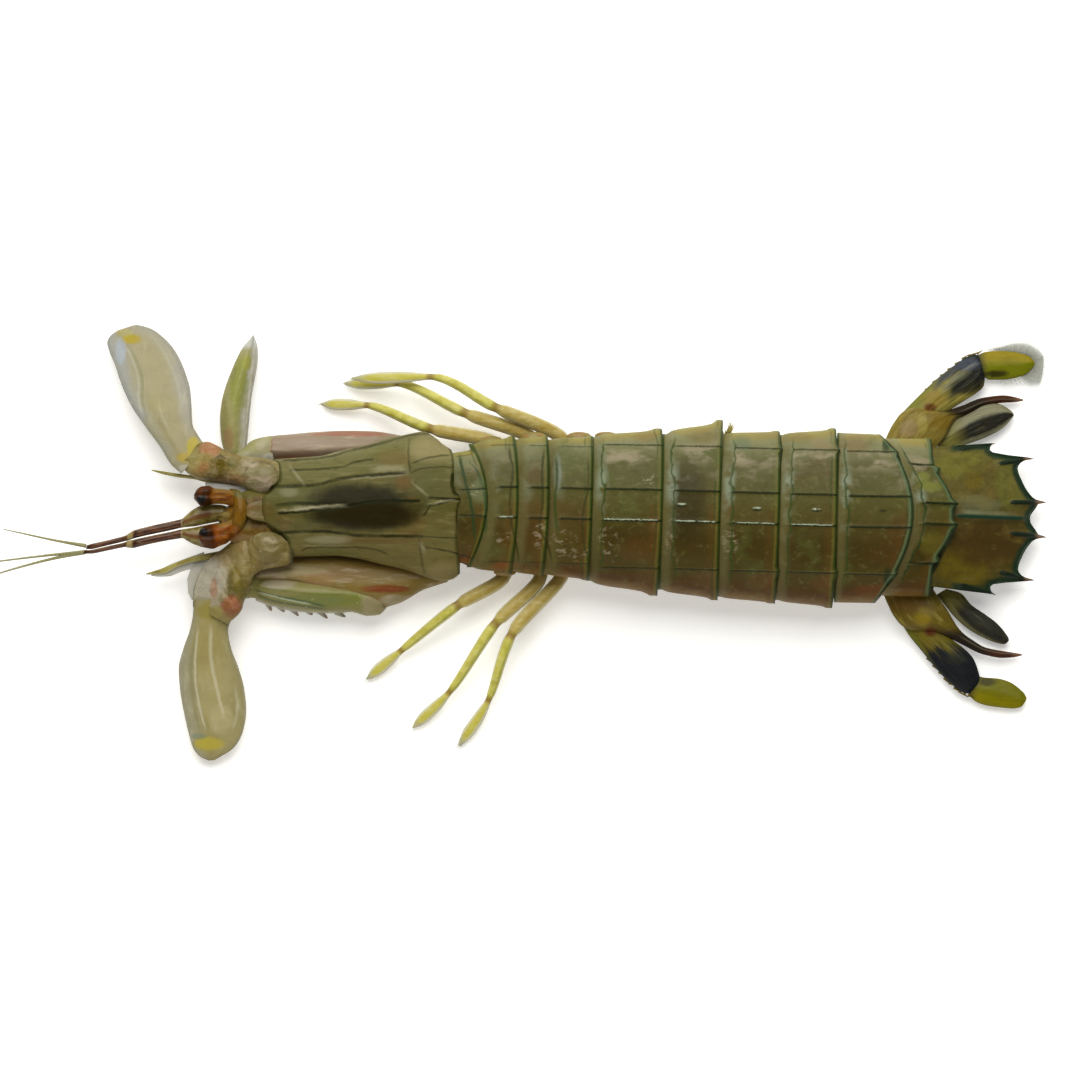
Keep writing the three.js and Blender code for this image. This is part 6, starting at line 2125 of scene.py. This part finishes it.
base = over(
    paint, base,
    (combs * right * 0.35, (84, 78, 40)),
    (fine.above(0.6, 0.72) * 0.25, (96, 92, 44)),
    (fine.below(0.25, 0.38) * 0.3, (186, 184, 150)),
)
hand_alpha = 1 - rim * right * along.above(1, 3) * 0.25
hand_finish = wet(paint, base, 0.42, 0.1, grain * 0.3 + fine_relief(paint), hand_alpha, gloss=0.14)

print("finish:", hand_finish.name)

# %% [markdown]
# The blade is whitish and translucent, and its long teeth have horn-coloured tips.

# %% Claw blade finish
paint = new_finish("claw blade")
grain = mottle(paint, 1.6)
base = tinted(paint, grain.above(0.4, 0.6), (184, 181, 166), (170, 165, 142))
base = tinted(paint, mark(paint, "across").below(-0.7, 0.0) * 0.25, base, (144, 142, 104))
base = tinted(paint, mark(paint, "front_mm") * 0.8, base, (128, 98, 64))
blade_finish = wet(paint, base, 0.42, 0.06, grain * 0.1, 0.75, gloss=0.14)
print("finish:", blade_finish.name)

# %% [markdown]
# Each claw is four blades that overlap at their joints. The teeth of the shut blade stick out below the
# hand like the tines of a rake.

# %% Claws
# the teeth of the shut blade: root and tip in photo pixels
CLAW_TEETH = (
    ((267, 603), (272, 612)), ((279, 607), (285, 613)), ((291, 609), (299, 617)),
    ((307, 611), (313, 616)), ((319, 612), (328, 619.5)), ((336, 613), (346, 618)),
)
TOOTH_HEIGHT = 2.7
tooth_width = through((0, 0.6), (1, 0.45), (1.7, 0.28), (2, 0.08))


def hand_relief(place, side):
    return 0.35 * rib(side, -0.15, 0.45) - 0.3 * rib(side, 0.5, 0.22)


def arm_relief(place, side):
    return 0.25 * rib(side, 0.35, 0.3) - 0.2 * rib(side, -0.2, 0.25)


def add_teeth(mesh):
    """Adds the long teeth of the shut blade and marks their tips."""
    for root, tip in CLAW_TEETH:
        before = len(mesh.verts)
        middle = [(first + last) / 2 for first, last in zip(root, tip)]
        path = [raised(*point, TOOTH_HEIGHT) for point in (root, middle, tip)]
        limb(mesh, path, evenly(9, 0, 2), tooth_width, tooth_width, 10)
        mesh.verts.ensure_lookup_table()
        layers = mesh.verts.layers.float
        for corner in mesh.verts[before:]:
            corner[layers["front_mm"]] = ease(corner[layers["along"]], 0.8, 1.8)


CLAW_PARTS = (
    ("raptorial_merus_right", "claw_arm", arm_finish, ARM_RIGHT, arm_height, arm_thick, arm_relief),
    ("raptorial_carpus_right", "claw", hand_finish, WRIST_RIGHT, wrist_height, wrist_thick, None),
    ("raptorial_propodus_right", "claw", hand_finish, HAND_RIGHT, hand_height, hand_thick, hand_relief),
    ("raptorial_dactylus_right", "claw_blade", blade_finish, BLADE_RIGHT,
     blade_height_right, blade_thick_right, None),
    ("raptorial_merus_left", "claw_arm", arm_finish, ARM_LEFT, arm_height_left, arm_thick_left, arm_relief),
    ("raptorial_carpus_left", "claw", hand_finish, WRIST_LEFT, wrist_height_left, wrist_thick, None),
    ("raptorial_propodus_left", "claw", hand_finish, HAND_LEFT,
     hand_height_left, hand_thick_left, hand_relief),
    ("raptorial_dactylus_left", "claw_blade", blade_finish, BLADE_LEFT,
     blade_height_left, blade_thick_left, None),
)
for node, slot, finish, edges, height, thick, relief in CLAW_PARTS:
    mesh = start_skin()
    last = len(edges) - 1
    blade(mesh, edges, evenly(last * 6 + 1, 0, last), height, thick, 32, relief=relief)
    if node == "raptorial_dactylus_left":
        add_teeth(mesh)
    finish_piece(mesh, node + "_skin", slot, finish, node)

# %% [markdown]
# ## The legs
#
# Three pairs of slender legs trail from the thorax. The first stretch, from the hip over the shell's edge
# to the knee, is brownish; the next is yellow-green; the last is a thin flat paddle, yellow inside and
# clear at the rim, that ends in a tuft of bristles.

# %% Legs
LEGS = {
    "leg_1_right": (
        (-26, 6.6, 3.8), (-28.5, 12.4, 4.3), (-40.9, 15.1, 5.6), (-53, 19.9, 2.6), (-61.6, 20.3, 0.8)),
    "leg_2_right": (
        (-19.6, 6.6, 3.8), (-21.2, 13, 4.3), (-34.4, 18.1, 6), (-47.2, 24, 3.1), (-57.2, 24.2, 1)),
    "leg_3_right": (
        (-13, 6.4, 3.8), (-15.4, 13, 4.3), (-28.5, 19, 7), (-41, 24.9, 6.4), (-55.8, 24.8, 4.2)),
    "leg_1_left": (
        (-25.6, -6.4, 3.8), (-26.6, -12.6, 4.3), (-35.7, -18.7, 5.4), (-46.4, -27, 2.1),
        (-52.8, -32.2, 0.8)),
    "leg_2_left": (
        (-19.2, -6.5, 3.8), (-19.8, -12.8, 4.3), (-28.5, -22.3, 6), (-37.3, -35, 2.3), (-44.1, -41.5, 0.8)),
    "leg_3_left": (
        (-13, -6.8, 3.8), (-16, -13.2, 4.3), (-25.5, -24.6, 6.2), (-29.8, -36.5, 2.4), (-35.3, -44.9, 0.8)),
}
leg_width = through(
    (0, 1.0), (1, 1.3), (1.6, 1.35), (1.86, 1.25), (1.97, 0.88), (2.1, 1.05), (2.5, 0.95), (2.88, 0.75),
    (2.97, 0.58), (3.1, 0.75), (3.35, 1.1), (3.65, 1.15), (3.85, 0.75), (4, 0.16))
leg_thick = through(
    (0, 0.9), (1.6, 1.1), (1.9, 0.95), (1.98, 0.7), (2.1, 0.9), (2.5, 0.85), (2.9, 0.6), (2.98, 0.45),
    (3.15, 0.55), (3.6, 0.45), (4, 0.1))
near_joints = {1.83, 1.93, 1.97, 2.03, 2.07, 2.84, 2.93, 2.97, 3.03, 3.06, 3.8, 3.94}
leg_rows = sorted(set(evenly(33, 0, 4)) | near_joints)
print("legs:", len(LEGS), "rows of corners on each:", len(leg_rows))

# %% [markdown]
# The finish changes at each joint: straw brown, then yellow-green, then a yellow paddle with a clear rim.
# All along, the edges are painted paler, as painted light against the shade on the round sides of a leg.

# %% Leg finish
paint = new_finish("leg")
along = mark(paint, "along")
across = mark(paint, "across")
grain = mottle(paint, 1.6)
streaks = mottle(paint, 0.9, 3.0, 0.6, (4, 1, 1))
base = tinted(paint, grain.above(0.35, 0.65), (172, 154, 84), (164, 142, 68))
middle = tinted(paint, grain.above(0.4, 0.6), (192, 186, 92), (176, 170, 68))
rim = abs(across).above(0.45, 0.8)
end = tinted(paint, rim, (184, 176, 76), (206, 204, 182))
base = tinted(paint, (along + (grain - 0.5) * 0.3).above(1.86, 2.02), base, middle)
base = tinted(paint, (along + (grain - 0.5) * 0.2).above(2.95, 3.08), base, end)
paddle = along.above(3.0, 3.15)
base = over(
    paint, base,
    (streaks.above(0.5, 0.68) * 0.3, (206, 198, 146)),
    (streaks.below(0.3, 0.42) * 0.2, (140, 116, 44)),
    (along.below(0.9, 1.5) * 0.4, (146, 110, 60)),
    # paler edges: painted light against the shade on the round sides
    (abs(across).above(0.5, 0.95) * 0.5, (212, 208, 172)),
    ((along - 1.99).line(0.05, 0.9).most((along - 2.98).line(0.05, 0.9)) * 0.7, (112, 70, 20)),
    ((across - 0.6).line(0.16, 0.8) * along.above(1.9, 2.1) * along.below(2.9, 3) * 0.4, (120, 130, 40)),
    (along.above(3.75, 3.95) * 0.8, (170, 166, 140)),
)
leg_finish = wet(paint, base, 0.42, 0.08, streaks * 0.15 + grain * 0.12, 1 - rim * paddle * 0.22)

print("finish:", leg_finish.name)

# %% [markdown]
# Every leg ends in a small tuft of bristles, whose roots and lengths are drawn with the leg's own seed.

# %% Legs and their tufts
TUFT_HAIRS = 26
leg_tufts = start_skin()
for number, (name, path) in enumerate(LEGS.items()):
    mesh = start_skin()
    limb(mesh, path, leg_rows, leg_width, leg_thick, 20)
    finish_piece(mesh, name + "_skin", "leg", leg_finish, name)
    line = line_of(path)
    roots = []
    chance = random.Random(number)
    for _ in range(TUFT_HAIRS):
        place = chance.uniform(3.6, 3.98)
        centre, forward, across, up = line(place)
        way = forward + across * chance.uniform(-0.45, 0.45) + up * chance.uniform(0, 0.3)
        root = centre + across * chance.uniform(-0.8, 0.8) * leg_width(place)
        roots.append((root, way, chance.uniform(0.9, 1.9)))
    hairs(leg_tufts, roots, number, 0.05)
finish_piece(leg_tufts, "leg_tufts", "leg", bristle_finish)

# %% [markdown]
# ## The soft underside
#
# Nobody sees the belly while the animal lies on it, but it is part of the piece. Under the carapace are
# the folded mouth limbs, under the thorax the keel that the shrimp rests on, and under every ring of the
# abdomen a pair of broad swimming limbs with bristly ends.

# %% Underside
paint = new_finish("soft underside")
grain = mottle(paint, 3.0)
fine = mottle(paint, 0.9)
base = tinted(paint, grain.above(0.35, 0.65), (166, 148, 110), (140, 120, 78))
base = over(
    paint, base,
    (fine.above(0.55, 0.7) * 0.35, (186, 172, 138)),
    (fine.below(0.3, 0.42) * 0.3, (116, 92, 54)),
)
underside_finish = wet(paint, base, 0.4, 0.2, grain * 0.3 + fine * 0.1)


def keel_skin(mesh, start, end, width, top, sole, folds):
    """A long soft keel from start to end, with shallow folds across it."""
    def place_of(share, turn):
        x = mix(start, end, share)
        side = math.sin(turn)
        rise = math.cos(turn)
        full = math.copysign(abs(rise) ** 0.6, rise)
        fold = 0.25 * math.sin(share * folds * 2 * math.pi) * abs(side)
        across = math.copysign(abs(side) ** 0.8, side) * (width(share) + fold)
        height = mix((top(share) + sole) / 2, top(share) if full > 0 else sole, abs(full))
        return on_body(x, across, height), {"along": share, "across": side, "up": rise}

    wrap(mesh, evenly(37, 0, 1), evenly(29, 0, 2 * math.pi), place_of)


MOUTH_LIMBS = ((-48, 6.2), (-55, 5.8), (-62, 5.0))
mesh = start_skin()
keel_skin(mesh, -75.8, -36.2, through((0, 3.2), (0.12, 4.8), (0.5, 7.2), (1, 8.2)),
          through((0, 5.4), (0.1, 5.9), (0.5, 6.6), (1, 6.6)), 2.0, 8)
mouth_width = through((0, 1.1), (0.6, 1.4), (1.4, 1.2), (1.9, 0.8), (2, 0.3))
for root_x, reach in MOUTH_LIMBS:
    for turn in (1, -1):
        middle = axis_y(root_x)
        path = [
            (root_x, middle + turn * 2.2, 2.6), (root_x - 2.4, middle + turn * reach, 1.7),
            (root_x - 7.5, middle + turn * (reach - 2.4), 1.1),
        ]
        limb(mesh, path, evenly(17, 0, 2), mouth_width, mouth_width, 14)
finish_piece(mesh, "head_underside_skin", "flesh", underside_finish, "head_underside")

mesh = start_skin()
keel_skin(mesh, -36.1, -10.2, through((0, 5.4), (0.5, 5.6), (1, 5.4)), through((0, 6.2), (1, 6.3)), 0.05, 4)
finish_piece(mesh, "thorax_underside_skin", "flesh", underside_finish, "thorax_underside")
print("mouth limbs:", 2 * len(MOUTH_LIMBS))

# %% [markdown]
# A pair of swimming limbs hangs from a cross bar. Each is a broad soft flap with bristles on its rim.

# %% Swimming limbs
BAR_THICK = 0.75
flap_width = through((0, 1.5), (0.6, 3.6), (1.3, 3.9), (1.8, 2.6), (2, 0.8))
flap_thick = through((0, 1.0), (1, 0.9), (1.8, 0.5), (2, 0.15))
bar_width = through((0, 1.6), (0.4, 2.6), (1, 3.0), (1.6, 2.6), (2, 1.6))
for number in range(1, 6):
    (front, rear), *_ = RINGS[f"abdominal_somite_{number}"]
    middle = mix(front, rear, 0.45)
    centre = axis_y(middle)
    mesh = start_skin()
    bar = [(middle, centre - 12.4, 2.9), (middle - 0.4, centre, 2.9), (middle, centre + 12.4, 2.9)]
    limb(mesh, bar, evenly(25, 0, 2), bar_width, lambda place: BAR_THICK, 16)
    roots = []
    for turn in (1, -1):
        flap = [
            (middle, centre + turn * 1.6, 1.8), (middle + 0.6, centre + turn * 6.5, 1.3),
            (middle + 1.2, centre + turn * 11.5, 0.9)]
        limb(mesh, flap, evenly(21, 0, 2), flap_width, flap_thick, 20)
        for step in evenly(14, 0.9, 1.95):
            place, forward, across, _ = line_of(flap)(step)
            root = place - across * turn * flap_width(step) * 0.9
            roots.append((root, forward * 0.4 - across * turn, 1.2))
    hairs(mesh, roots, number, 0.05)
    finish_piece(mesh, f"pleopods_{number}_skin", "flesh", underside_finish, f"pleopods_{number}")

# %% [markdown]
# ## Loose ends
#
# A few small things stand off the outline: a tuft of stiff hairs behind the second ring of the abdomen, on
# the right, and the soft orange ends of the leg joints beside the thorax.

# %% Loose ends
TUFT_LINE = ((725, 438), (729, 437))
TUFT_SIDE = ((722, 438), (726, 438))
paint = new_finish("tuft")
grain = mottle(paint, 1.0, 2.0)
tuft_finish = wet(paint, tinted(paint, grain, (168, 160, 84), (140, 124, 56)), 0.5, 0.0)
mesh = start_skin()
hairs(mesh, edge_roots(TUFT_LINE, 7.5, (0.4, 0.9, 0), 2.7, 9), 12, 0.2)
hairs(mesh, edge_roots(TUFT_SIDE, 7.2, (0.1, 0.95, 0), 1.3, 5), 13, 0.2)
finish_piece(mesh, "flank_tuft", "leg", tuft_finish)

COXAE = (
    ((491, 446), (14, 9)), ((534, 441), (14, 8)), ((579, 439), (13, 6)), ((606, 437), (11, 4)),
    ((505, 573), (11, 4)), ((542, 572), (10, 3.5)),
)
paint = new_finish("leg joint skin")
grain = mottle(paint, 1.5)
base = tinted(paint, grain.above(0.4, 0.6), (142, 112, 60), (134, 122, 68))
coxa_finish = wet(paint, base, 0.36, 0.2, grain * 0.25)
mesh = start_skin()
for middle, (long, wide) in COXAE:
    x, seen = photo(*middle)
    long, wide = long * PIXEL, wide * PIXEL
    path = [(x - long, seen - 0.7, 6.2), (x, seen - 0.7, 6.6), (x + long, seen - 0.7, 6.2)]
    size = through((0, 0.2), (0.3, 0.8 * wide), (1, wide), (1.7, 0.8 * wide), (2, 0.2))
    limb(mesh, path, evenly(13, 0, 2), size, size, 16)
finish_piece(mesh, "leg_joint_skins", "flesh", coxa_finish)
print("leg joints beside the thorax:", len(COXAE))

# %% [markdown]
# ## The table
#
# The shrimp lies on a matt, almost white table. A little light of its own keeps it as pale as in the
# photograph.

# %% Table
paint = new_finish("pale table")
cloud = mottle(paint, 60.0, 1.0)
shade = tinted(paint, cloud, (247, 247, 246), (243.5, 243.5, 243.5))
glow = {"Base Color": shade, "Roughness": 0.8, "Emission Color": shade, "Emission Strength": 0.35}
surface = paint.node("BsdfPrincipled", sockets=glow)
paint.node("OutputMaterial", sockets={"Surface": surface}, result=None)
table.data.materials.append(paint.material)
